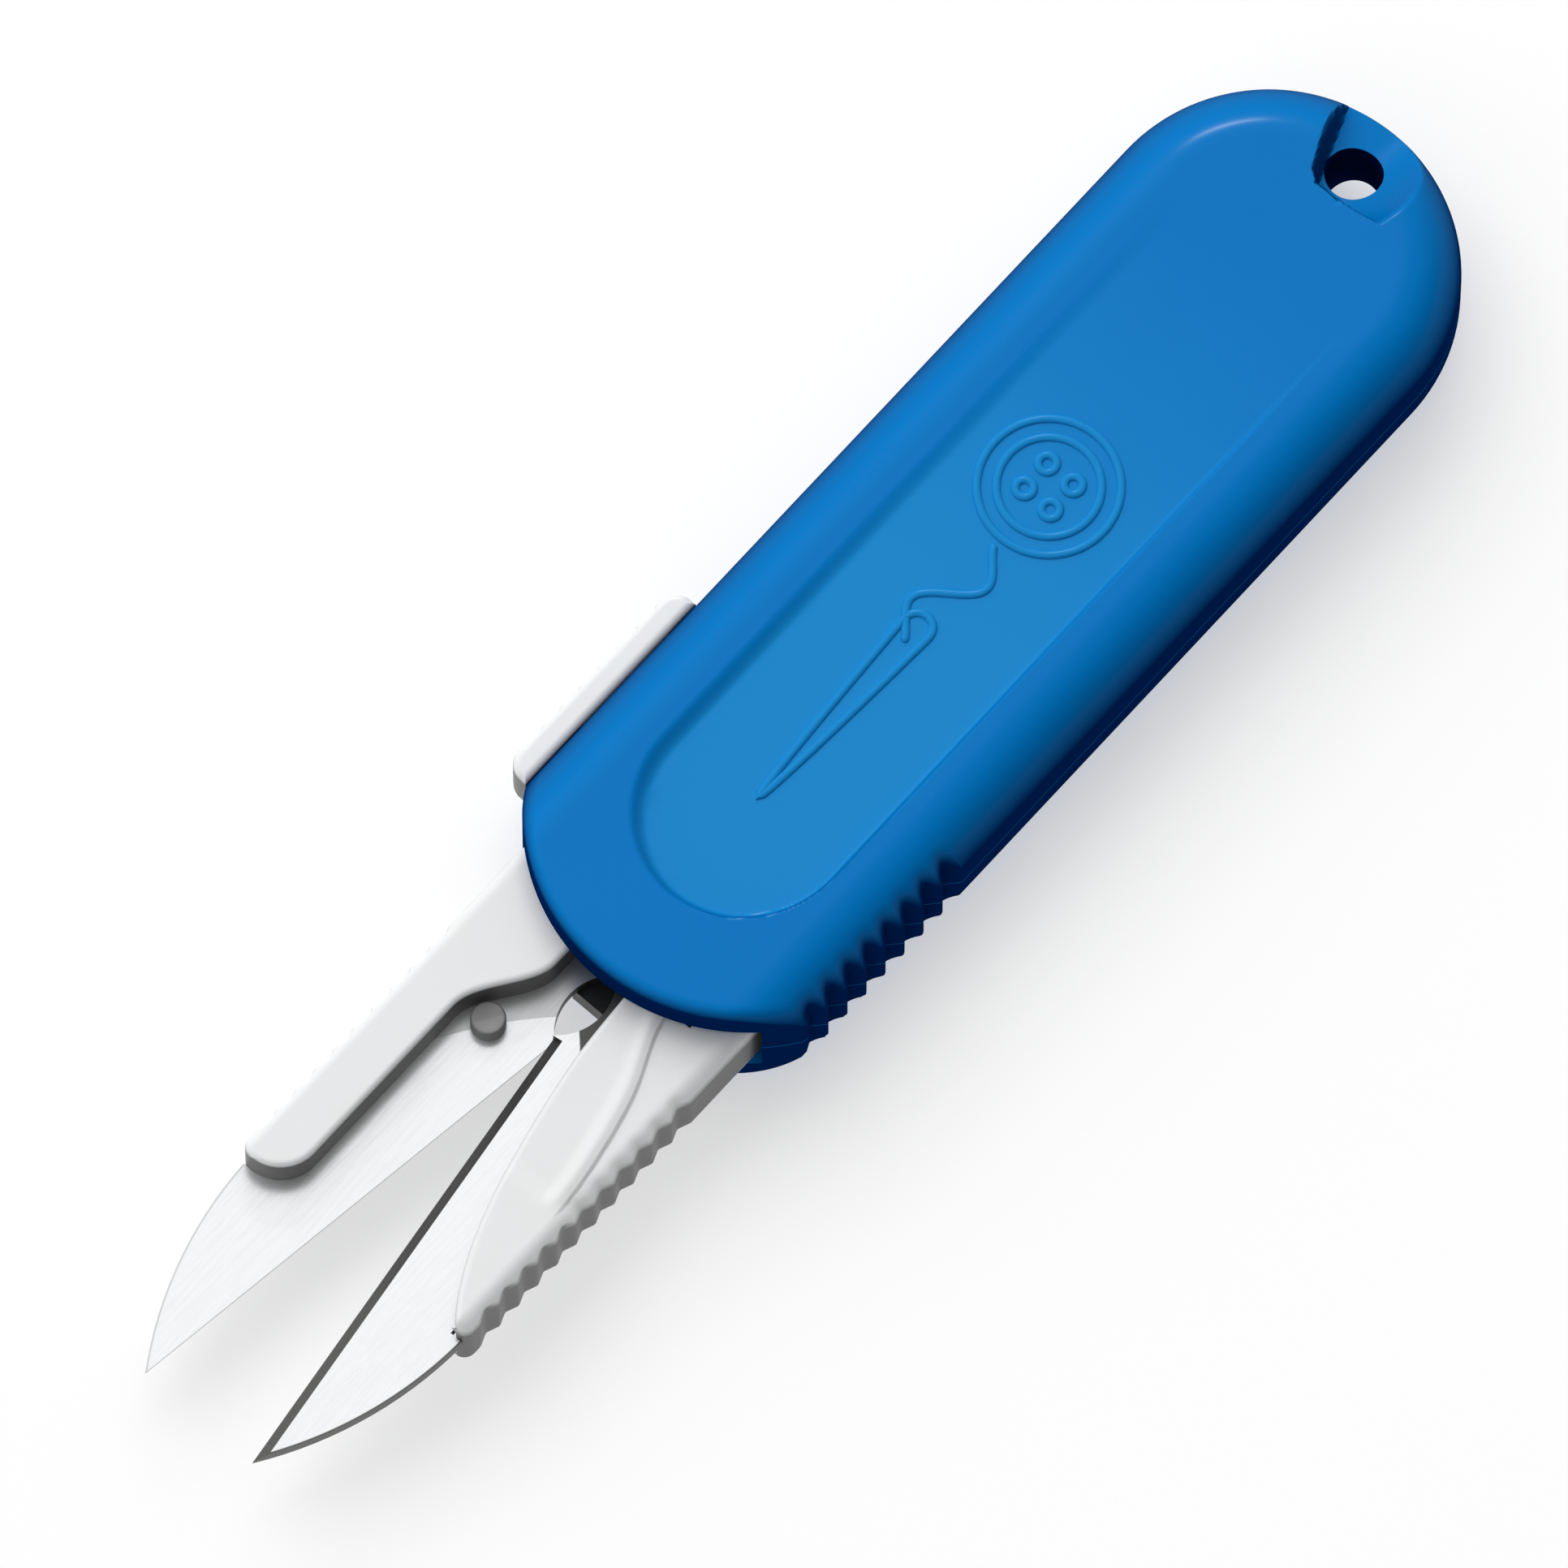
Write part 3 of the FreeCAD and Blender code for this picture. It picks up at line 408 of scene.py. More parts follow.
class Graph:
    """The node tree of one material, with its surface shader."""

    def __init__(self, name: str) -> None:
        """Start an empty material with a Principled surface."""
        self.material = bpy.data.materials.new(name)
        self.material.use_nodes = True
        self.tree = self.material.node_tree
        self.tree.nodes.clear()
        self.shader = self.tree.nodes.new("ShaderNodeBsdfPrincipled")
        output = self.tree.nodes.new("ShaderNodeOutputMaterial")
        self.tree.links.new(self.shader.outputs["BSDF"], output.inputs["Surface"])
        self.places = self.node("ShaderNodeTexCoord").outputs["Object"]

    def feed(self, socket: bpy.types.NodeSocket, value: Value) -> None:
        """Set a socket to a value, or link it to a signal or another socket."""
        if isinstance(value, Signal):
            value = value.socket
        if isinstance(value, bpy.types.NodeSocket):
            self.tree.links.new(value, socket)
        else:
            socket.default_value = value

    def node(self, kind: str, inputs: dict[str | int, Value] | None = None,
             **settings: object) -> bpy.types.Node:
        """Add one node.

        Args:
            kind: The node's type.
            inputs: Values or links of its sockets, by name or number.
            settings: Attributes, set before its sockets.

        Returns:
            The new node.
        """
        made = self.tree.nodes.new(kind)
        for key, setting in settings.items():
            setattr(made, key, setting)
        for key, value in (inputs or {}).items():
            self.feed(made.inputs[key], value)
        return made

    def maths(self, operation: str, *values: "Signal | float") -> Signal:
        """Add a Math node on one or two values."""
        made = self.node("ShaderNodeMath", dict(enumerate(values)), operation=operation)
        return Signal(self, made.outputs[0])

    def vector(self, operation: str, first: Value, second: Value) -> bpy.types.Node:
        """Add a Vector Math node on two vectors."""
        return self.node("ShaderNodeVectorMath", {0: first, 1: second}, operation=operation)

    def mix(self, share: Signal | float, first: Value, second: Value) -> bpy.types.NodeSocket:
        """Mix two colours, each given plainly or as a socket, by the second one's share."""
        made = self.node("ShaderNodeMix", data_type="RGBA")
        self.feed(made.inputs[0], share)
        for socket, value in ((made.inputs[6], first), (made.inputs[7], second)):
            self.feed(socket, (*value, 1.0) if isinstance(value, tuple) else value)
        return made.outputs[2]

    def noise(self, size: float, detail: float = 2.0, stretch: Colour = (1.0, 1.0, 1.0)) -> Signal:
        """Noise about one half.

        Args:
            size: Size of its features, in millimetres.
            detail: Octaves of finer noise.
            stretch: How much shorter the features are along each axis.

        Returns:
            The noise.
        """
        scaled = self.vector("MULTIPLY", self.places, stretch)
        made = self.node("ShaderNodeTexNoise", {
            "Vector": scaled.outputs["Vector"], "Scale": 1.0 / (size * MM), "Detail": detail})
        return Signal(self, made.outputs["Fac"])

    def plan_distance(self, centre: Vector) -> Signal:
        """Distance in plan from a centre in the mesh's own space, in millimetres."""
        flat = self.vector("MULTIPLY", self.places, (1.0, 1.0, 0.0))
        made = self.vector("DISTANCE", flat.outputs["Vector"], (centre.x, centre.y, 0.0))
        return Signal(self, made.outputs["Value"]) * (1.0 / MM)

    def upright(self) -> Signal:
        """How far a surface faces up or down, 0 on a wall and 1 on a level face."""
        normal = self.node("ShaderNodeTexCoord").outputs["Normal"]
        parts = self.node("ShaderNodeSeparateXYZ", {"Vector": normal})
        return abs(Signal(self, parts.outputs["Z"]))

    def painted(self, name: str) -> Signal:
        """A mask stored on the mesh's points."""
        made = self.node("ShaderNodeAttribute", attribute_name=name)
        return Signal(self, made.outputs["Fac"])

    def bump(self, height: Signal) -> None:
        """Raise the surface by a height in millimetres."""
        made = self.node("ShaderNodeBump", {"Height": height, "Distance": MM, "Strength": 1.0})
        self.feed(self.shader.inputs["Normal"], made.outputs["Normal"])

    def surface(self, **sockets: Value) -> None:
        """Set the surface shader's sockets, with underscores for spaces."""
        for key, value in sockets.items():
            if isinstance(value, tuple) and len(value) == 3 and "color" in key:
                value = (*value, 1.0)
            self.feed(self.shader.inputs[key.replace("_", " ").title().replace("Ior", "IOR")], value)


# ---- Finishes ----

@dataclass(frozen=True)
class CasePlastic:
    """Blue injection-moulded plastic: a polished rim round a finer, paler panel, with painted shade on its
    walls and sides.
    """

    rim: Colour = (0.0, 0.175, 0.52)
    rim_shade: Colour = (0.0, 0.165, 0.49)
    # Near-black navy of the painted shade that upright walls and sides are mixed towards.
    painted_side_shade: Colour = (0.0, 0.015, 0.09)
    panel: Colour = (0.008, 0.23, 0.57)
    rim_roughness: float = 0.34
    panel_roughness: float = 0.5
    grain: float = 0.3
    grain_depth: float = 0.004
    ripple_depth: float = 0.012

    def material(self) -> bpy.types.Material:
        """Build the finish."""
        graph = Graph("moulded_blue")
        panel = graph.painted("panel")
        clouds = graph.noise(14.0, detail=3.0)
        grain = graph.noise(self.grain, detail=3.0)
        handled = graph.noise(5.0, detail=5.0).clipped(0.4, 0.75)
        rim = graph.mix(clouds, self.rim, self.rim_shade)
        level = graph.upright()
        # Painted shade: the more upright a face is, the further its colour goes towards the near-black navy.
        rim = graph.mix(level.clipped(0.2, 0.94), self.painted_side_shade, rim)
        graph.surface(
            base_color=graph.mix(panel, rim, self.panel),
            roughness=(self.rim_roughness + panel * (self.panel_roughness - self.rim_roughness)
                       + handled * 0.04 + (grain - 0.5) * 0.05),
            specular_ior_level=0.0, coat_roughness=0.2, coat_weight=level.clipped(0.3, 0.8) * 0.12)
        ripple = graph.noise(9.0, detail=1.0)
        graph.bump(grain * self.grain_depth * (0.4 + panel) + ripple * self.ripple_depth)
        return graph.material


@dataclass(frozen=True)
class Nylon:
    """White moulded nylon of the finger arms and the button, with painted shade on its upright walls."""

    body: Colour = (0.77, 0.785, 0.80)
    warm: Colour = (0.74, 0.745, 0.74)
    # Near-black of the painted shade on upright walls.
    painted_wall_shade: Colour = (0.1, 0.1, 0.098)
    roughness: float = 0.42
    grain: float = 0.22

    def material(self) -> bpy.types.Material:
        """Build the finish."""
        graph = Graph("white_nylon")
        level = graph.upright().clipped(0.05, 0.5)
        tint = graph.mix(graph.noise(7.0, detail=3.0), self.body, self.warm)
        grain = graph.noise(self.grain, detail=3.0)
        flow = graph.noise(3.5, detail=1.0, stretch=(0.35, 1.0, 1.0))
        # Painted shade: upright walls take the near-black colour, and level faces keep the white.
        graph.surface(base_color=graph.mix(level, self.painted_wall_shade, tint),
                      roughness=self.roughness + (grain - 0.5) * 0.12, ior=1.53,
                      subsurface_weight=0.06, subsurface_radius=(1.2 * MM, 1.1 * MM, 1.0 * MM),
                      subsurface_scale=1.0)
        graph.bump(grain * 0.004 + flow * 0.01)
        return graph.material


@dataclass(frozen=True)
class GroundSteel:
    """Stainless blade steel: brushed flats, with painted shade darkening its ground edges and walls and
    drawing a thin dark line along its round back.
    """

    name: str
    # Circle of the blade's round back, along which a thin line of painted shade is drawn on the flat;
    # back_shade is how strong it is.
    back_centre: Vector
    back_radius: float
    back_shade: float
    back_width: float = 0.15
    flats: Colour = (0.86, 0.87, 0.88)
    scratch_tint: Colour = (0.82, 0.83, 0.84)
    # Near-black of the painted shade on bevels, walls and the line along the back.
    shaded_edges: Colour = (0.10, 0.10, 0.097)
    flat_roughness: float = 0.24
    ground_roughness: float = 0.42

    def material(self) -> bpy.types.Material:
        """Build the finish."""
        graph = Graph(self.name)
        # Painted shade: the flat goes dark within back_width of the round back, and bevels and walls that
        # are not level go dark too.
        back = graph.plan_distance(self.back_centre) - (self.back_radius - self.back_width)
        level = graph.upright().clipped(0.72, 0.93) * (1.0 - back.clipped(0.0, 0.07) * self.back_shade)
        brushed = graph.noise(0.22, detail=4.0, stretch=(0.07, 1.0, 1.0))
        wheel = graph.noise(0.16, detail=3.0, stretch=(1.0, 0.12, 1.0))
        flats = graph.mix(brushed.clipped(0.35, 0.7), self.flats, self.scratch_tint)
        shaded_edges = self.ground_roughness + (wheel - 0.5) * 0.2
        flat = self.flat_roughness + (brushed - 0.5) * 0.14
        graph.surface(base_color=graph.mix(level, self.shaded_edges, flats),
                      roughness=shaded_edges * (1.0 - level) + flat * level, metallic=0.8)
        graph.bump(brushed * 0.0012 * level + wheel * 0.006 * (1.0 - level))
        return graph.material


@dataclass(frozen=True)
class PlainMetal:
    """Turned, rolled or drawn metal of one small fitting."""

    name: str
    tone: Colour
    shade: Colour
    roughness: float
    mark: float
    mark_depth: float
    metallic: float = 1.0

    def material(self) -> bpy.types.Material:
        """Build the finish."""
        graph = Graph(self.name)
        marks = graph.noise(self.mark, detail=4.0)
        stains = graph.noise(self.mark * 12, detail=2.0).clipped(0.35, 0.75)
        graph.surface(base_color=graph.mix(stains, self.tone, self.shade), metallic=self.metallic,
                      roughness=self.roughness + (marks - 0.5) * 0.2)
        graph.bump(marks * self.mark_depth)
        return graph.material


@dataclass(frozen=True)
class Acetal:
    """Black acetal of the carriage, with a fine moulded grain; its near-black tone is partly the carriage's
    own colour and partly painted shade for the deep shade inside the case's mouth.
    """

    # Near-black, partly the carriage's own colour and partly painted shade for the dark inside of the mouth.
    tone: Colour = (0.009, 0.009, 0.010)
    rubbed: Colour = (0.024, 0.024, 0.026)
    roughness: float = 0.4

    def material(self) -> bpy.types.Material:
        """Build the finish."""
        graph = Graph("black_acetal")
        grain = graph.noise(0.25, detail=3.0)
        rubs = graph.noise(1.6, detail=5.0, stretch=(0.2, 1.0, 1.0)).clipped(0.5, 0.8)
        graph.surface(base_color=graph.mix(rubs, self.tone, self.rubbed),
                      roughness=self.roughness - rubs * 0.1 + (grain - 0.5) * 0.1, ior=1.48)
        graph.bump(grain * 0.006)
        return graph.material


@dataclass(frozen=True)
class StudioPaper:
    """Seamless white paper of the floor."""

    tone: Colour = (0.50, 0.50, 0.50)
    shade: Colour = (0.49, 0.49, 0.49)
    glow: Colour = (1.0, 1.0, 1.0)

    def material(self) -> bpy.types.Material:
        """Build the finish."""
        graph = Graph("studio_paper")
        fibres = graph.noise(0.6, detail=3.0)
        graph.surface(base_color=graph.mix(graph.noise(60.0), self.tone, self.shade), roughness=0.85,
                      specular_ior_level=0.1, emission_color=self.glow, emission_strength=0.5)
        graph.bump(fibres * 0.004)
        return graph.material


@dataclass
class Finishes:
    """Every finish of the object, made once and shared."""

    blue: bpy.types.Material = field(default_factory=lambda: CasePlastic().material())
    nylon: bpy.types.Material = field(default_factory=lambda: Nylon().material())
    stud: bpy.types.Material = field(default_factory=lambda: PlainMetal(
        "stud_steel", (0.24, 0.24, 0.24), (0.2, 0.2, 0.2), 0.6, 0.12, 0.004, 0.4).material())
    spring: bpy.types.Material = field(default_factory=lambda: PlainMetal(
        "spring_steel", (0.42, 0.42, 0.43), (0.34, 0.33, 0.31), 0.3, 0.08, 0.002).material())
    plain: bpy.types.Material = field(default_factory=lambda: PlainMetal(
        "plain_steel", (0.55, 0.55, 0.56), (0.46, 0.46, 0.46), 0.36, 0.1, 0.003).material())
    black: bpy.types.Material = field(default_factory=lambda: Acetal().material())

    def of_slot(self, slot: str) -> bpy.types.Material:
        """The finish that a material slot of the record stands for."""
        return {"case_blue": self.blue, "carriage_black": self.black, "white_nylon": self.nylon,
                "stud_steel": self.stud, "spring_steel": self.spring, "plain_steel": self.plain}[slot]


# ---- Case ----

@dataclass
class Case:
    """The two-shell pocket case: round shoulders, sunk panel, grip teeth, cord hole and button slot."""

    layout: Layout
    shaper: Shaper
    shoulder: float = 4.4
    mouth_radius: float = 15.0
    mouth_rounding: float = 0.9
    seam_chamfer: float = 0.07
    scoop_blend: float = 0.22
    panel_half: float = 7.7
    panel_front_swell: float = 0.6
    panel_depth: float = 0.8
    panel_length: float = 60.0
    panel_setback: float = 7.0
    crisp_lip: float = 0.4
    soft_lip: float = 1.5
    grip_start: float = 7.6
    grip_count: int = 8
    grip_depth: float = 0.85
    grip_fade: tuple[float, float] = (2.6, 5.2)
    cord_radius: float = 2.0
    scoop_floor: float = 3.4
    scoop_fall: float = 0.21
    scoop_wall_at: float = -2.1
    scoop_wall_deg: float = 23.0
    scoop_wall_slope: float = 3.2
    scoop_rise: float = 0.1
    scoop_far_edge: float = -0.4
    scoop_back: float = 2.2
    cavity_corner: float = 3.0
    slot_rise: float = 1.6
    slot_reach: tuple[float, float] = (4.0, 0.6)
    notch_radius: float = 1.6
    notch_depth: float = 0.5
    notch_behind: float = 14.5
    notch_rise: float = 1.4

    @property
    def mouth_centre(self) -> float:
        """X of the centre of the mouth's arc."""
        return self.layout.mouth_x - self.mouth_radius

    @property
    def far_centre(self) -> float:
        """X of the centre of the round far end."""
        return self.layout.case_half - self.layout.mouth_x

    def groove(self, x: Array) -> Array:
        """Depth of the grip teeth at x."""
        first = self.layout.mouth_x - self.grip_start - (self.grip_count - 1) * TOOTH_PITCH
        return tooth_depth(x, first, self.grip_count, self.grip_depth)

    def shoulder_height(self, x: Array, y: Array) -> Array:
        """Height of the plain round-shouldered case over a place in plan."""
        beyond = np.minimum(x - self.far_centre, 0.0)
        out = np.hypot(beyond, y)
        over = np.clip(out - (self.layout.case_half - self.shoulder), 0.0, self.shoulder)
        return self.layout.rise - self.shoulder + np.sqrt(self.shoulder**2 - over**2)

    def cut_grip(self, plan: Array, top: Array) -> None:
        """Sink the grip teeth square to the left shoulder, running out towards its top.

        Args:
            plan: Places in plan, moved in place.
            top: Heights over them, moved in place.
        """
        over = np.clip(plan[..., 1] - (self.layout.case_half - self.shoulder), 0.0, self.shoulder)
        outward = over / self.shoulder
        upward = np.sqrt(np.maximum(1.0 - outward**2, 0.0))
        shown = ease(self.grip_fade[1], self.grip_fade[0], top) * ease(0.0, 0.6, outward)
        depth = self.groove(plan[..., 0]) * shown
        plan[..., 1] -= depth * outward
        top -= depth * upward

    def scoop_height(self, x: Array, y: Array) -> Array:
        """Height of the scoop's floor, with a steep wall on its right and a soft rise on its left."""
        outward = self.layout.cord_x - x
        floor = self.scoop_floor - self.scoop_fall * outward
        wall = self.scoop_wall_at - np.tan(math.radians(self.scoop_wall_deg)) * outward
        steep = np.maximum(wall - y, 0.0) * self.scoop_wall_slope
        gentle = self.scoop_rise * np.maximum(y - self.scoop_far_edge, 0.0) ** 2
        behind = np.maximum(-outward - self.scoop_back, 0.0) * self.scoop_wall_slope
        return floor + steep + gentle + behind

    def panel_share(self, x: Array, y: Array) -> Array:
        """1 on the sunk panel's floor and 0 outside it."""
        ahead = np.maximum(x - self.mouth_centre, 0.0)
        out = np.hypot(ahead, y)
        facing = np.where(out > 0, ahead / np.maximum(out, 1e-9), 0.0)
        limit = self.panel_half + self.panel_front_swell * facing**2
        side = np.clip(y / self.panel_half, -1.0, 1.0)
        lip = self.soft_lip + (self.crisp_lip - self.soft_lip) * (0.5 + 0.5 * side)
        return ease(0.0, 1.0, (limit - out) / lip)

    def panel_sink(self, x: Array, y: Array) -> Array:
        """Depth of the panel below the plain face, running out towards the far end."""
        front = self.layout.mouth_x - self.panel_setback
        along = np.clip((x - front + self.panel_length) / self.panel_length, 0.0, 1.0)
        return self.panel_depth * along * self.panel_share(x, y)

    def height(self, x: Array, y: Array, half: Half) -> Array:
        """Height of one shell's outer face over a place in plan."""
        top = self.shoulder_height(x, y)
        ahead = x > self.mouth_centre
        inside = np.where(ahead, self.mouth_radius - np.hypot(x - self.mouth_centre, y), self.mouth_rounding)
        fullness = ease(0.0, 2.5, top - (self.layout.rise - self.shoulder))
        top = top + (round_over(top, self.mouth_rounding, inside) - top) * fullness
        if half is Half.UPPER:
            top = top - self.panel_sink(x, y)
        return lower_of(top, self.scoop_height(x, y), self.scoop_blend)

    def rays(self) -> tuple[Array, Array]:
        """Rays from the case's axis out to its edge, in order round the case.

        Returns:
            The inner and outer end of each ray, in plan.
        """
        half = self.layout.case_half
        grip_high = self.layout.mouth_x - self.grip_start + TOOTH_PITCH / 2
        grip_low = grip_high - self.grip_count * TOOTH_PITCH
        corner = math.acos(half / self.mouth_radius)
        corner_x = self.mouth_centre + self.mouth_radius * math.sin(corner)
        far_side = np.linspace(self.far_centre, grip_low, 40)[:-1]
        side_x = np.concatenate([far_side, np.arange(grip_low, corner_x, TOOTH_PITCH / 12), [corner_x]])
        mouth_turn = np.linspace(math.pi / 2 - corner, corner - math.pi / 2, 72)[1:-1]
        far_deg = np.concatenate([np.arange(93, 138, 3.0), np.arange(138, 226, 0.8),
                                  np.arange(228, 270, 3.0)])
        far_turn = np.radians(far_deg[::-1])
        mouth, far = (self.mouth_centre, 0.0), (self.far_centre, 0.0)
        axis = lift(np.minimum(side_x, self.mouth_centre)[:, None], 0.0)
        left = lift(side_x[:, None], half)
        right = left[::-1] * np.array([1.0, -1.0])
        inner = [axis, circle(mouth_turn, mouth, 0.0), axis[::-1], circle(far_turn, far, 0.0)]
        outer = [left, circle(mouth_turn, mouth, self.mouth_radius), right, circle(far_turn, far, half)]
        return np.vstack(inner), np.vstack(outer)

    def surface(self, half: Half) -> Array:
        """Rows of places over one shell before its hollows are cut, one row for each ray."""
        inner, outer = self.rays()
        edge = 1.0 - self.shoulder / self.layout.case_half
        turn = np.linspace(0.0, math.pi / 2, 26)[1:]
        shares = np.concatenate([np.linspace(0, 0.44, 8), np.linspace(0.46, edge, 20),
                                 edge + (1 - edge) * np.sin(turn)])
        plan = inner[:, None, :] + (outer - inner)[:, None, :] * shares[None, :, None]
        top = self.height(plan[..., 0], plan[..., 1], half)
        self.cut_grip(plan, top)
        rim, rim_top = plan[:, -1], top[:, -1]
        inward = inner - rim
        inward /= np.linalg.norm(inward, axis=1)[:, None]
        rows = [lift(rim, rim_top + (self.seam_chamfer - rim_top) * share)
                for share in np.linspace(0, 1, 8)[1:]]
        rows += [lift(rim + inward * self.seam_chamfer, 0.0), lift(inner, 0.0)]
        grid = np.concatenate([np.dstack([plan, top]), np.stack(rows, axis=1)], axis=1)
        grid[..., 2] *= half.value
        return grid

    def cavity_outline(self) -> Array:
        """Plan of the hollow: straight sides, round rear corners, open past the mouth."""
        low, side, r = self.layout.cavity_end_x, self.layout.cavity_half, self.cavity_corner
        turns = np.linspace(0, math.pi / 2, 12)
        left = np.column_stack([low + r - r * np.sin(turns), side - r + r * np.cos(turns)])
        right = left[::-1] * np.array([1.0, -1.0])
        far = self.layout.mouth_x + self.cavity_corner
        return np.vstack([[(far, side)], left, right, [(far, -side)]])

    def hollow(self, piece: bpy.types.Object) -> None:
        """Cut the cavity, the cord hole, the button's slot and the detent's notches."""
        layout, shaper = self.layout, self.shaper
        rise = layout.arm_rise + FACE_GAP
        shaper.carve(piece, shaper.prism("cavity", self.cavity_outline(), -rise, rise))
        reach = layout.rise + self.cord_radius
        profile = [(self.cord_radius, -reach), (self.cord_radius, reach)]
        shaper.carve(piece, shaper.turned("hole", (layout.cord_x, 0.0), profile))
        stem_x = layout.pivot_x - STEM_BEHIND
        slot = stadium(stem_x - STEM_HALF - layout.travel - SLIDE_GAP, stem_x + STEM_HALF + SLIDE_GAP,
                       self.slot_rise)
        shaper.carve(piece, shaper.bar_across("slot", slot, -layout.case_half - self.slot_reach[0],
                                              self.slot_reach[1] - layout.cavity_half))
        centre_y = layout.cavity_half + self.notch_depth - self.notch_radius
        profile = [(self.notch_radius, -self.notch_rise), (self.notch_radius, self.notch_rise)]
        for x in (layout.pivot_x - self.notch_behind, layout.pivot_x - self.notch_behind - layout.travel):
            shaper.carve(piece, shaper.turned("notch", (x, centre_y), profile, 40))

    def paint_panel(self, piece: bpy.types.Object) -> None:
        """Store the panel's share on the mesh, for the finish to read."""
        mesh = piece.data
        places = np.empty(len(mesh.vertices) * 3)
        mesh.vertices.foreach_get("co", places)
        places = places.reshape(-1, 3) / MM
        share = self.panel_share(places[:, 0], places[:, 1])
        front = self.layout.mouth_x - self.panel_setback
        share *= ease(front - self.panel_length - 2.0, front - 0.4 * self.panel_length, places[:, 0])
        share *= places[:, 2] > self.layout.mid_z + self.layout.arm_rise + 1.5
        layer = mesh.attributes.new("panel", "FLOAT", "POINT")
        layer.data.foreach_set("value", share.astype(np.float32))

    def build(self, finishes: Finishes) -> None:
        """Build and dress both shells."""
        for half, node in ((Half.UPPER, "case_upper_shell"), (Half.LOWER, "case_lower_shell")):
            shell = self.shaper.loft(f"case_{half.name.lower()}_moulding", self.surface(half), True, False)
            self.hollow(shell)
            if half is Half.UPPER:
                self.paint_panel(shell)
            place(shell, finishes.blue, "case", "case_blue", node)


@dataclass
class PanelEmblem:
    """Raised line art on the panel: a sewing button whose thread runs to a needle."""

    case: Case
    stroke: float = 0.6
    proud: float = 0.22
    sunk: float = 0.08
    button_x: float = -5.0
    button_radius: float = 4.8
    rim_radius: float = 3.5
    hole_radius: float = 0.62
    hole_spread: float = 1.15
    thread_end_x: float = 8.2
    thread_swing: float = 2.0
    needle_end_x: float = 24.0
    needle_half: float = 1.05

    def raised_line(self, name: str, plan: Array, closed: bool) -> bpy.types.Object:
        """A half-round raised line along a path on the panel.

        Args:
            name: Name of the piece.
            plan: Places along the path, in plan.
            closed: Whether the path runs back into itself.

        Returns:
            The new object.
        """
        ahead = np.roll(plan, -1, axis=0) - np.roll(plan, 1, axis=0)
        if not closed:
            ahead[0] = plan[1] - plan[0]
            ahead[-1] = plan[-1] - plan[-2]
        ahead /= np.linalg.norm(ahead, axis=1)[:, None]
        across = np.column_stack([-ahead[:, 1], ahead[:, 0]])
        turns = np.linspace(0, math.pi, 9)
        offsets = np.concatenate([[1.0], np.cos(turns), [-1.0]]) * self.stroke / 2
        lifts = np.concatenate([[-self.sunk], np.sin(turns) * self.proud, [-self.sunk]])
        taper = np.ones(len(plan))
        if not closed:
            run = np.concatenate([[0.0], np.cumsum(np.linalg.norm(np.diff(plan, axis=0), axis=1))])
            near_end = np.minimum(run, run[-1] - run)
            gone = 1.0 - np.clip(near_end / (self.stroke / 2), 0.0, 1.0)
            taper = np.sqrt(np.maximum(1.0 - gone**2, 0.01))
        rings = plan[:, None, :] + across[:, None, :] * (offsets[None, :, None] * taper[:, None, None])
        floor = self.case.height(plan[:, 0], plan[:, 1], Half.UPPER)
        levels = floor[:, None] + lifts[None, :] * np.where(lifts[None, :] > 0, taper[:, None], 1.0)
        return self.case.shaper.loft(name, np.dstack([rings, levels]), looped=closed)

    def ring(self, x: float, y: float, radius: float) -> Array:
        """Places round a circle."""
        turns = np.linspace(0, 2 * math.pi, max(24, int(radius * 24)), endpoint=False)
        return circle(turns, (x, y), radius)

    def thread(self) -> Array:
        """The thread's path from the button to the needle's eye, in two waves."""
        start = self.button_x + self.button_radius + self.stroke
        x = np.linspace(start, self.thread_end_x + 1.4, 80)
        along = (x - start) / (x[-1] - start)
        swing = self.thread_swing * np.sin(2 * math.pi * along) * np.sin(math.pi * along) ** 0.6
        return np.column_stack([x, swing])

    def needle(self) -> Array:
        """Outline of the needle: a round eye end and a long taper to its point."""
        turns = np.linspace(math.pi / 2, 3 * math.pi / 2, 24)
        end = circle(turns, (self.thread_end_x, 0.0), self.needle_half)
        x = np.linspace(self.thread_end_x, self.needle_end_x, 60)[1:-1]
        share = (x - self.thread_end_x) / (self.needle_end_x - self.thread_end_x)
        half = self.needle_half * (1 - share) ** 0.7 + 0.02
        low = np.column_stack([x, -half])
        high = np.column_stack([x, half])[::-1]
        return np.vstack([end, low, [(self.needle_end_x, 0.0)], high])

    def build(self, finishes: Finishes) -> None:
        """Build and dress every raised line."""
        lines = {"emblem_button_edge": (self.ring(self.button_x, 0.0, self.button_radius), True),
                 "emblem_button_rim": (self.ring(self.button_x, 0.0, self.rim_radius), True),
                 "emblem_thread": (self.thread(), False),
                 "emblem_needle": (self.needle(), True)}
        for number, (across, up) in enumerate(((1, 1), (1, -1), (-1, 1), (-1, -1))):
            x = self.button_x + across * self.hole_spread
            y = up * self.hole_spread
            lines[f"emblem_hole_{number}"] = (self.ring(x, y, self.hole_radius), True)
        for name, (plan, closed) in lines.items():
            line = self.raised_line(name, plan, closed)
            layer = line.data.attributes.new("panel", "FLOAT", "POINT")
            layer.data.foreach_set("value", np.ones(len(line.data.vertices), dtype=np.float32))
            place(line, finishes.blue, "case", "case_blue")


# ---- Arms, button and stud ----

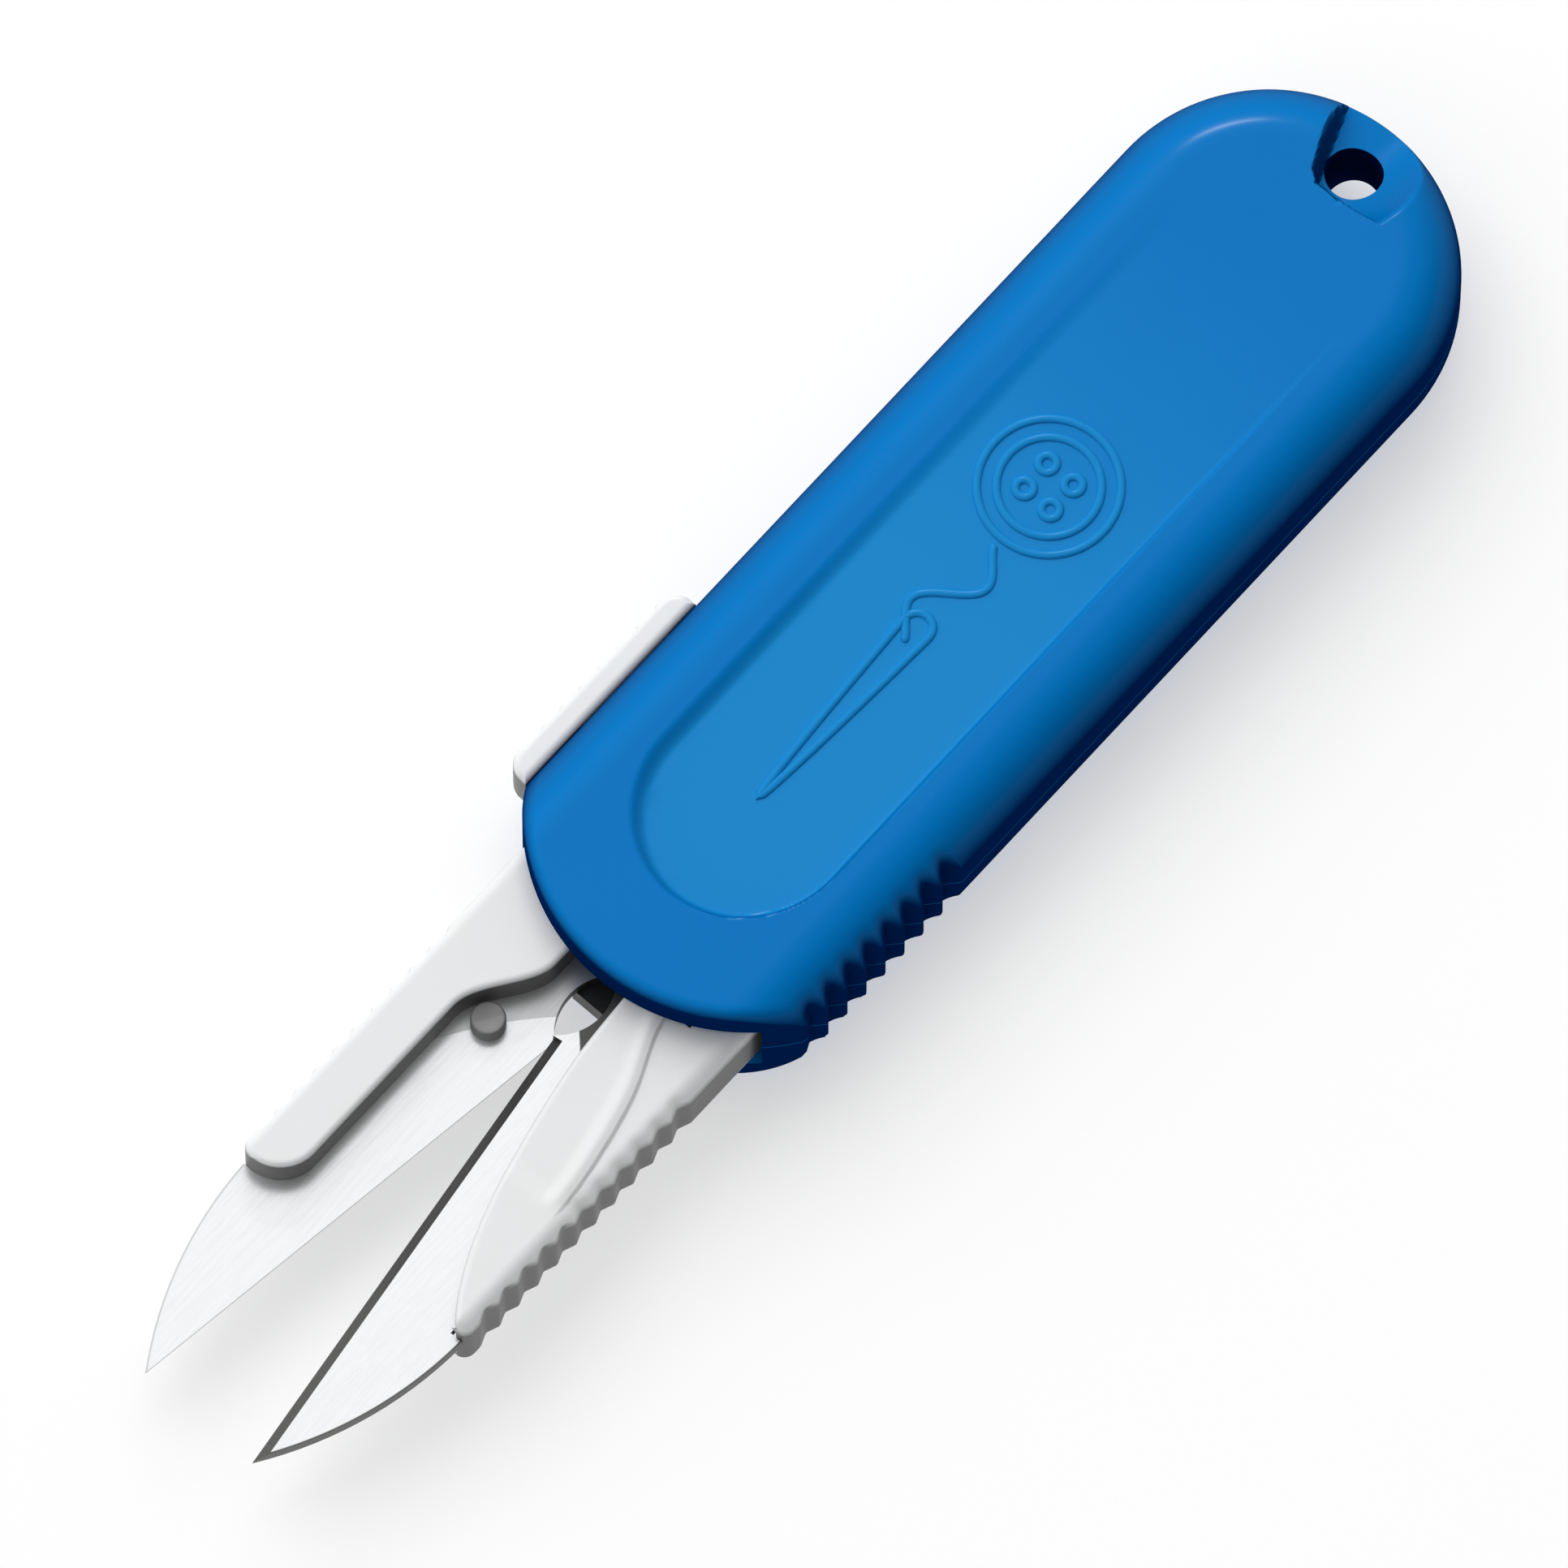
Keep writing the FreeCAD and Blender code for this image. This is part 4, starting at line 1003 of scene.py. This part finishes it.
@dataclass(frozen=True)
class Plate:
    """A moulded plate with rounded edges: its plan between two edges, and its thickness.

    The edges give the distance out from the axis, so that the same plate serves either side.
    """

    inner: Profile
    outer: Profile
    low_x: float
    high_x: float
    rise: float
    rounding: float
    spacing: float
    outer_rounding: float = 0.6
    groove: Profile | None = None
    border: Profile | None = None
    sink: Callable[[Array, Array], Array] | None = None
    border_half: float = 0.16
    least_width: float = 0.02

    def stations(self) -> Array:
        """Places along the plate, closer together at its ends."""
        count = int(round((self.high_x - self.low_x) / self.spacing))
        even = np.linspace(self.low_x, self.high_x, count + 1)
        turn = np.linspace(0, math.pi / 2, 10)
        near = self.low_x + self.rounding * (1 - np.cos(turn))
        far = self.high_x - 4 * self.rounding * (1 - np.cos(turn))
        places = np.sort(np.concatenate([even, near, far]))
        return places[np.concatenate([[True], np.diff(places) > 0.036 * self.spacing])]

    def shares(self) -> Array:
        """Shares of the way across, closer together at both edges."""
        turn = np.linspace(0, math.pi / 2, 11)
        shares = [0.12 * (1 - np.cos(turn)), np.linspace(0.13, 0.69, 11), 0.7 + 0.3 * np.cos(turn)]
        return np.unique(np.round(np.concatenate(shares), 6))

    def edges(self, x: Array) -> tuple[Array, Array, Array]:
        """Columns of the inner edge, the outer edge and the distance from the nearer end."""
        inner = self.inner(x)[:, None]
        outer = np.maximum(self.outer(x)[:, None], inner + self.least_width)
        return inner, outer, np.minimum(x - self.low_x, self.high_x - x)[:, None]

    def across(self, x: Array) -> Array:
        """Distances out, one row for each station."""
        inner, outer, _ = self.edges(x)
        shares = self.shares()[None, :]
        if self.border is None:
            return inner + (outer - inner) * shares
        half = self.border_half
        line = np.clip(self.border(x)[:, None], inner + 0.3, outer - 0.3)
        step = line + np.linspace(-half, half, 9)[None, 1:-1]
        return np.concatenate([inner + (line - half - inner) * shares, step,
                               line + half + (outer - line - half) * shares], axis=1)

    def top(self, x: Array, out: Array) -> Array:
        """Height of the top face over a grid of places, with its edges rounded."""
        inner, outer, ends = self.edges(x)
        slope_in = np.hypot(1.0, np.gradient(inner[:, 0], x))[:, None]
        slope_out = np.hypot(1.0, np.clip(np.gradient(outer[:, 0], x), -2.0, 2.0))[:, None]
        top = np.full(out.shape, self.rise)
        if self.sink is not None:
            top = top - self.sink(np.repeat(x[:, None], out.shape[1], axis=1), out)
        rounded = round_over(top, self.rounding, np.minimum((out - inner) / slope_in, ends))
        return np.minimum(rounded, round_over(top, self.outer_rounding, (outer - out) / slope_out))

    def rings(self, side: Side) -> Array:
        """Rings of places round the plate, from its tail to its end, on one side of the axis."""
        x = self.stations()
        out = self.across(x)
        top = self.top(x, out)
        inner, outer, ends = self.edges(x)
        under = -round_over(np.full(out.shape, self.rise), self.rounding,
                            np.minimum(np.minimum(out - inner, outer - out), ends))
        wall = top[:, -1:] + (under[:, -1:] - top[:, -1:]) * np.linspace(0, 1, 10)[None, 1:-1]
        loop_out = np.concatenate([out, np.repeat(out[:, -1:], wall.shape[1], axis=1), out[:, ::-1]], axis=1)
        loop_up = np.concatenate([top, wall, under[:, ::-1]], axis=1)
        if self.groove is not None:
            near_edge = ease(2.2 * self.outer_rounding, 0.3 * self.outer_rounding, outer - loop_out)
            low_enough = ease(self.rise - 0.05, self.rise - 0.85 * self.outer_rounding, loop_up)
            loop_out = loop_out - self.groove(x)[:, None] * near_edge * low_enough
        along = np.repeat(x[:, None], loop_out.shape[1], axis=1)
        return np.dstack([along, side.value * loop_out, loop_up])


@dataclass
class FingerArm:
    """What both finger arms share: a nose hollow, a ribbed outer edge and room for the blade."""

    layout: Layout
    shaper: Shaper
    side: Side = Side.RIGHT
    nose_reach: float = 4.9
    tail_out: float = 4.6
    root_out: float = 2.85
    tooth_depth: float = 0.42
    teeth_start: float = 3.7
    teeth_short: float = 0.9
    corner: float = 0.9
    rounding: float = 0.42
    outer_rounding: float = 0.75
    tail_slack: float = 0.35
    tang_cover: float = 1.3
    leg_pocket: tuple[float, float] = (2.0, 6.7)
    hair: float = 0.01

    def hollow_edge(self, x: Array) -> Array:
        """Inner edge round the carriage's nose, then level at the root's width."""
        ahead = np.clip(np.asarray(x) - self.layout.pivot_x, 0.0, self.nose_reach)
        return np.clip(np.sqrt(self.nose_reach**2 - ahead**2), self.root_out, self.tail_out)

    def groove(self, x: Array) -> Array:
        """Depth of the grip teeth along the outer edge."""
        reach = self.layout.arm_end_x - self.layout.mouth_x
        count = int((reach - self.teeth_short - self.teeth_start) / TOOTH_PITCH)
        first = self.layout.mouth_x + self.teeth_start + TOOTH_PITCH / 2
        return tooth_depth(x, first, count, self.tooth_depth)

    def outer_edge(self, x: Array) -> Array:
        """Outer edge without its teeth: a turned corner at the end and a slack tail."""
        layout = self.layout
        slack = self.tail_slack * np.clip((layout.pivot_x - x) / (layout.pivot_x - layout.arm_tail_x), 0, 1)
        return round_over(layout.arm_half, self.corner, layout.arm_end_x - x) - slack

    def inner_edge(self, x: Array) -> Array:
        """Inner edge of the arm."""
        raise NotImplementedError

    def plate(self, **step: Callable[..., Array]) -> Plate:
        """The arm's moulded plate, with the line and the depth of a step in its top if it has one."""
        layout = self.layout
        return Plate(self.inner_edge, self.outer_edge, layout.arm_tail_x, layout.arm_end_x, layout.arm_rise,
                     self.rounding, TOOTH_PITCH / 12, self.outer_rounding, self.groove, **step)

    def blade_room(self) -> Array:
        """Plan of the slot that the blade's tang fills."""
        cover = self.layout.arm_half - self.tang_cover
        near, far = self.layout.pivot_x, self.layout.arm_end_x + 0.5
        rows = [(near + 2.0, -1.0), (near + 4.5, 4.5), (near + 15.5, cover), (far, cover), (far, -1.0)]
        return np.array(rows) * np.array([1.0, self.side.value])

    def blade_levels(self) -> tuple[float, float]:
        """Lowest and highest level of this arm's blade."""
        near, far = self.layout.shear_gap / 2, self.layout.tang_top
        return (near, far) if self.side is Side.LEFT else (-far, -near)

    def trim(self, arm: bpy.types.Object) -> None:
        """Cut the blade's slot and the spring leg's pocket."""
        low, high = self.blade_levels()
        room = self.shaper.prism("room", self.blade_room(), low - self.hair, high + self.hair)
        self.shaper.carve(arm, room)
        near_x = self.layout.pivot_x + 1.5
        outs = sorted(self.side.value * out for out in self.leg_pocket)
        pocket = self.shaper.box("pocket", (near_x, outs[0], 1.0), (near_x + 2.9, outs[1], 2.6))
        self.shaper.carve(arm, pocket)

    def build(self, finishes: Finishes) -> None:
        """Build and dress the arm."""
        name = self.side.name.lower()
        arm = self.shaper.loft(f"{name}_arm_moulding", self.plate().rings(self.side))
        self.trim(arm)
        place(arm, finishes.nylon, f"{name}_arm", "white_nylon", f"finger_arm_{name}")


@dataclass
class RightArm(FingerArm):
    """The slender arm: an even bar that swells to the root in one S-curve."""

    bar_inner: float = 6.0
    end_radius: float = 3.0
    swell: tuple[float, float] = (0.9, 7.6)

    def inner_edge(self, x: Array) -> Array:
        """Inner edge: the root, the S-curve, the bar and its round end."""
        start, stop = (self.layout.mouth_x + place_x for place_x in self.swell)
        out = self.hollow_edge(x) + (self.bar_inner - self.root_out) * ease(start, stop, x)
        return out - round_over(0.0, self.end_radius, self.layout.arm_end_x - x)


@dataclass
class LeftArm(FingerArm):
    """The leaf-shaped arm: a raised, crowned tongue beside a lower grip pad."""

    side: Side = Side.LEFT
    root_out: float = 1.9
    teeth_start: float = 2.0
    teeth_short: float = 1.4
    tooth_depth: float = 0.38
    outer_rounding: float = 1.3
    sweep: tuple[tuple[float, float], ...] = ((0.17, 0.23), (0.42, 0.335), (0.62, 0.455), (0.78, 0.59),
                                              (0.9, 0.735), (0.965, 0.84), (1.0, 0.92))
    step: tuple[tuple[float, float], ...] = ((-0.4, 0.34), (-0.016, 0.517), (0.182, 0.712), (0.324, 0.8),
                                             (0.488, 0.868), (0.57, 0.885), (0.8, 0.89))
    step_depth: float = 0.42
    step_width: float = 0.14
    step_fades: tuple[float, float] = (12.6, 14.6)
    bead: float = 0.2
    slit_width: float = 0.22
    slit_depth: float = 0.16
    slit_end: float = 13.6
    hook_radius: float = 0.66

    def of_arm(self, shares: Sequence[tuple[float, float]]) -> list[tuple[float, float]]:
        """Points given as shares of the length beyond the mouth and of the half span."""
        reach = self.layout.arm_end_x - self.layout.mouth_x
        return [(self.layout.mouth_x + along * reach, out * self.layout.arm_half) for along, out in shares]

    def inner_edge(self, x: Array) -> Array:
        """Inner edge: the root, then one long sweep out to the arm's end."""
        root = self.layout.pivot_x + math.sqrt(self.nose_reach**2 - self.root_out**2)
        curve = smooth_through([(root, self.root_out), *self.of_arm(self.sweep)])
        return np.where(x < root, self.hollow_edge(x), curve(x))

    def border(self, x: Array) -> Array:
        """Line of the step between the tongue and the pad."""
        return smooth_through(self.of_arm(self.step))(x)

    def sink(self, x: Array, out: Array) -> Array:
        """How far the pad lies below the tongue, and the bead along the tongue's edge."""
        past = out - self.border(x)
        start, stop = (self.layout.mouth_x + fade for fade in self.step_fades)
        shown = 1.0 - ease(start, stop, x)
        level = ease(-self.step_width, self.step_width, past)
        bead = np.exp(-((past + 0.7) / 0.55) ** 2) * (1.0 - level)
        return shown * (self.step_depth * level + self.bead * (1.0 - bead) * (1.0 - level))

    def plate(self) -> Plate:
        """The arm's plate with its step."""
        return super().plate(border=self.border, sink=self.sink)

    def slit(self) -> Array:
        """Path of the fine slit along the step, which hooks back into the tongue at its end."""
        x = np.linspace(self.layout.pivot_x + 3.5, self.layout.mouth_x + self.slit_end, 60)
        straight = np.column_stack([x, self.border(x)])
        turns = math.pi / 2 - np.linspace(0, 0.8 * math.pi, 14)[1:]
        centre = (straight[-1, 0], straight[-1, 1] - self.hook_radius)
        return np.vstack([straight, circle(turns, centre, self.hook_radius)])

    def trim(self, arm: bpy.types.Object) -> None:
        """Cut the common slots, and the room that the other blade's heel swings under."""
        super().trim(arm)
        layout = self.layout
        low = (layout.pivot_x + 7.4, -0.5, -layout.tang_top - FACE_GAP)
        high = (layout.pivot_x + 16.25, 3.18, layout.shear_gap / 2)
        self.shaper.carve(arm, self.shaper.box("pass", low, high))
        level = layout.arm_rise - self.slit_depth
        slit = self.shaper.ribbon("slit", self.slit(), self.slit_width, level, layout.arm_rise + 1.0)
        self.shaper.carve(arm, slit)


@dataclass
class ThumbButton:
    """The ribbed thumb button and the stem that joins it to the carriage."""

    layout: Layout
    shaper: Shaper
    corner: float = 1.5
    rounding: float = 0.55
    stand_off: float = 0.15
    tooth: float = 0.62
    stem_rise: float = 1.4

    def build(self, finishes: Finishes) -> None:
        """Build and dress the button."""
        low, high = corners_mm("thumb_button")
        layout = self.layout
        count = int((high.x - low.x - 2 * self.corner) / TOOTH_PITCH)
        first = (low.x + high.x) / 2 - (count - 1) * TOOTH_PITCH / 2
        plate = Plate(
            inner=lambda x: np.full(np.shape(x), layout.case_half + self.stand_off),
            outer=lambda x: round_over(-low.y, self.corner, np.minimum(x - low.x, high.x - x)),
            low_x=low.x, high_x=high.x, rise=high.z - layout.mid_z, rounding=self.rounding,
            spacing=TOOTH_PITCH / 12, outer_rounding=self.rounding,
            groove=lambda x: tooth_depth(x, first, count, self.tooth))
        button = self.shaper.loft("thumb_button_moulding", plate.rings(Side.RIGHT))
        stem_x = layout.pivot_x - STEM_BEHIND
        outline = stadium(stem_x - STEM_HALF, stem_x + STEM_HALF, self.stem_rise)
        stem = self.shaper.bar_across("stem", outline, -layout.case_half - 2 * self.stand_off, high.y)
        self.shaper.carve(button, stem, Carve.JOIN)
        place(button, finishes.nylon, "carriage", "white_nylon", "thumb_button")


@dataclass
class StopStud:
    """The turned stud on the lower blade, its head softly rounded."""

    layout: Layout
    shaper: Shaper
    shank_radius: float = 0.8
    rounding: float = 0.2

    def build(self, finishes: Finishes) -> None:
        """Build and dress the stud."""
        low, high = corners_mm("stop_stud")
        centre = ((low.x + high.x) / 2, (low.y + high.y) / 2)
        radius = (high.x - low.x) / 2
        top, foot = high.z - self.layout.mid_z, low.z - self.layout.mid_z
        seat = -self.layout.shear_gap / 2
        turns = np.linspace(0, math.pi / 2, 8)
        crown = circle(turns, (radius - self.rounding, top - self.rounding), self.rounding)
        profile = [(self.shank_radius, foot), (self.shank_radius, seat), (radius, seat), *crown,
                   (radius * 0.6, top - 0.01), (radius * 0.3, top - 0.03), (0.05, top - 0.035)]
        stud = self.shaper.turned("stop_stud_turning", centre, profile)
        place(stud, finishes.stud, "right_arm", "stud_steel", "stop_stud")


@dataclass
class Mechanism:
    """The blades, carriage, pivot and springs, which keep their frame shapes and get their finishes."""

    layout: Layout
    tip_out: float = 4.75
    back_inset: float = 0.35
    back_bow: float = 1.18
    # Each blade: its node, its side, and how strong the painted shade line along its back is.
    blades: tuple[tuple[str, Side, float], ...] = (
        ("blade_left", Side.LEFT, 1.0), ("blade_right", Side.RIGHT, 0.35))
    slots: dict[str, tuple[str, ...]] = field(default_factory=lambda: {
        "carriage_black": ("slide_carriage", "carriage_cap"),
        "plain_steel": ("carriage_rivets", "pivot_rivet", "pivot_washer"),
        "spring_steel": ("opening_spring", "detent_spring")})

    def back_circle(self, node: str, side: Side) -> tuple[Vector, float]:
        """Circle that the round back of a blade follows.

        Args:
            node: The blade.
            side: The side of the axis that it lies on when open.

        Returns:
            The centre in the blade's own space, and the radius in millimetres.
        """
        start = complex(self.layout.arm_end_x, self.layout.arm_half - self.back_inset)
        along = complex(corners_mm(node)[1].x, self.tip_out) - start
        bow = (along / 2 + 1j * self.back_bow) / along
        reach = along * (bow - abs(bow) ** 2) / (2j * bow.imag)
        centre = start + reach
        world = Vector((centre.real, centre.imag * side.value, self.layout.mid_z)) * MM
        return frame["nodes"][node].matrix_world.inverted() @ world, abs(reach)

    def build(self, finishes: Finishes) -> None:
        """Dress every carried-over node."""
        looks = {node: GroundSteel(f"{node}_steel", *self.back_circle(node, side), shade).material()
                 for node, side, shade in self.blades}
        looks |= {node: finishes.of_slot(slot) for slot, nodes in self.slots.items() for node in nodes}
        for node, look in looks.items():
            for holder in frame["nodes"][node].material_slots:
                holder.material = look
            LOG.info("%s: %s on its frame shape", node, look.name)


# ---- Studio ----

@dataclass
class Studio:
    """Floor, lights and camera."""

    layout: Layout
    floor_half: float = 1500.0
    curve_start: float = 0.7
    curve_rise: float = 900.0
    aim: tuple[float, float] = (20.8, -0.6)
    azimuth_deg: float = 41.6
    elevation_deg: float = 70.5
    distance: float = 2600.0
    lens: float = 900.0
    sensor: float = 36.0
    surround_fall: tuple[float, float, float, float] = (0.0, 0.75, 0.8, 0.06)
    lamps: tuple[tuple[str, tuple[float, float, float], tuple[float, float], float, bool], ...] = (
        ("key_light", (-260.0, -600.0, 960.0), (1300.0, 1100.0), 9.0, False),
        ("strip_light", (-245.0, -265.0, 330.0), (90.0, 16.0), 0.8, True),
        ("sheen_card", (-250.0, -225.0, 950.0), (620.0, 620.0), 0.3, True))

    def aim_point(self) -> Vector:
        """The point that the camera and the lights face, in metres."""
        return Vector((*self.aim, self.layout.mid_z)) * MM

    def floor(self) -> None:
        """Lay the white paper that the object rests on, curved up softly at its far edges."""
        steps = np.linspace(-1.0, 1.0, 49)
        grid_x, grid_y = np.meshgrid(steps * self.floor_half, steps * self.floor_half, indexing="ij")
        far = np.maximum(np.hypot(grid_x, grid_y) / self.floor_half - self.curve_start, 0.0)
        points = np.dstack([grid_x, grid_y, far**2 * self.curve_rise]).reshape(-1, 3) * MM
        mesh = bpy.data.meshes.new("studio_floor")
        width = len(steps)
        faces = [(i * width + k, (i + 1) * width + k, (i + 1) * width + k + 1, i * width + k + 1)
                 for i in range(width - 1) for k in range(width - 1)]
        mesh.from_pydata(points.tolist(), [], faces)
        mesh.shade_smooth()
        sheet = link("studio_floor", mesh)
        dress(sheet, StudioPaper().material())

    def lamp(self, name: str, place_mm: Sequence[float], size: tuple[float, float], power: float,
             glossy_only: bool) -> None:
        """Add one soft area light that faces the object.

        Args:
            name: Name of the light.
            place_mm: Its centre.
            size: Its width and height.
            power: Its power in watts.
            glossy_only: Whether it is only seen in reflections, or only lights matt surfaces.
        """
        light = bpy.data.lights.new(name, "AREA")
        light.shape = "RECTANGLE"
        light.size, light.size_y = size[0] * MM, size[1] * MM
        light.energy = power
        holder = link(name, light)
        holder.location = Vector(place_mm) * MM
        holder.rotation_euler = (self.aim_point() - holder.location).to_track_quat("-Z", "Y").to_euler()
        holder.visible_glossy = glossy_only
        holder.visible_diffuse = not glossy_only

    def surround(self) -> None:
        """Set an even pale surround that falls off to a dim left side."""
        world = bpy.data.worlds.new("studio_surround")
        bpy.context.scene.world = world
        world.use_nodes = True
        tree = world.node_tree
        shade = tree.nodes["Background"]
        shade.inputs["Color"].default_value = (1.0, 1.0, 1.0, 1.0)
        looking = tree.nodes.new("ShaderNodeTexCoord")
        parts = tree.nodes.new("ShaderNodeSeparateXYZ")
        fall = tree.nodes.new("ShaderNodeMapRange")
        fall.interpolation_type = "SMOOTHSTEP"
        for name, value in zip(("From Min", "From Max", "To Min", "To Max"), self.surround_fall):
            fall.inputs[name].default_value = value
        tree.links.new(looking.outputs["Generated"], parts.inputs["Vector"])
        tree.links.new(parts.outputs["Y"], fall.inputs["Value"])
        tree.links.new(fall.outputs["Result"], shade.inputs["Strength"])

    def camera(self) -> None:
        """Set the long-lens camera on the object."""
        lens = bpy.data.cameras.new("main_camera")
        lens.lens = self.lens
        lens.sensor_width = self.sensor
        lens.clip_start = 0.01
        holder = link("main_camera", lens)
        turn, climb = math.radians(self.azimuth_deg), math.radians(self.elevation_deg)
        out = Vector((math.cos(climb) * math.cos(turn), math.cos(climb) * math.sin(turn), math.sin(climb)))
        holder.location = self.aim_point() + out * self.distance * MM
        holder.rotation_euler = (-out).to_track_quat("-Z", "Y").to_euler()
        bpy.context.scene.camera = holder
        bpy.context.scene.view_settings.view_transform = "Standard"

    def build(self) -> None:
        """Set up the whole studio."""
        self.floor()
        for lamp in self.lamps:
            self.lamp(*lamp)
        self.surround()
        self.camera()


# ---- Whole object ----


def main() -> None:
    """Build the object's visible pieces in order, then the studio."""
    logging.basicConfig(level=logging.INFO, format="%(name)s %(message)s")
    layout = Layout.from_frame()
    shaper = Shaper(layout)
    finishes = Finishes()
    case = Case(layout, shaper)
    for assembly in (case, PanelEmblem(case), RightArm(layout, shaper), LeftArm(layout, shaper),
                     ThumbButton(layout, shaper), StopStud(layout, shaper), Mechanism(layout)):
        assembly.build(finishes)
    Studio(layout).build()


if __name__ == "__main__":
    main()
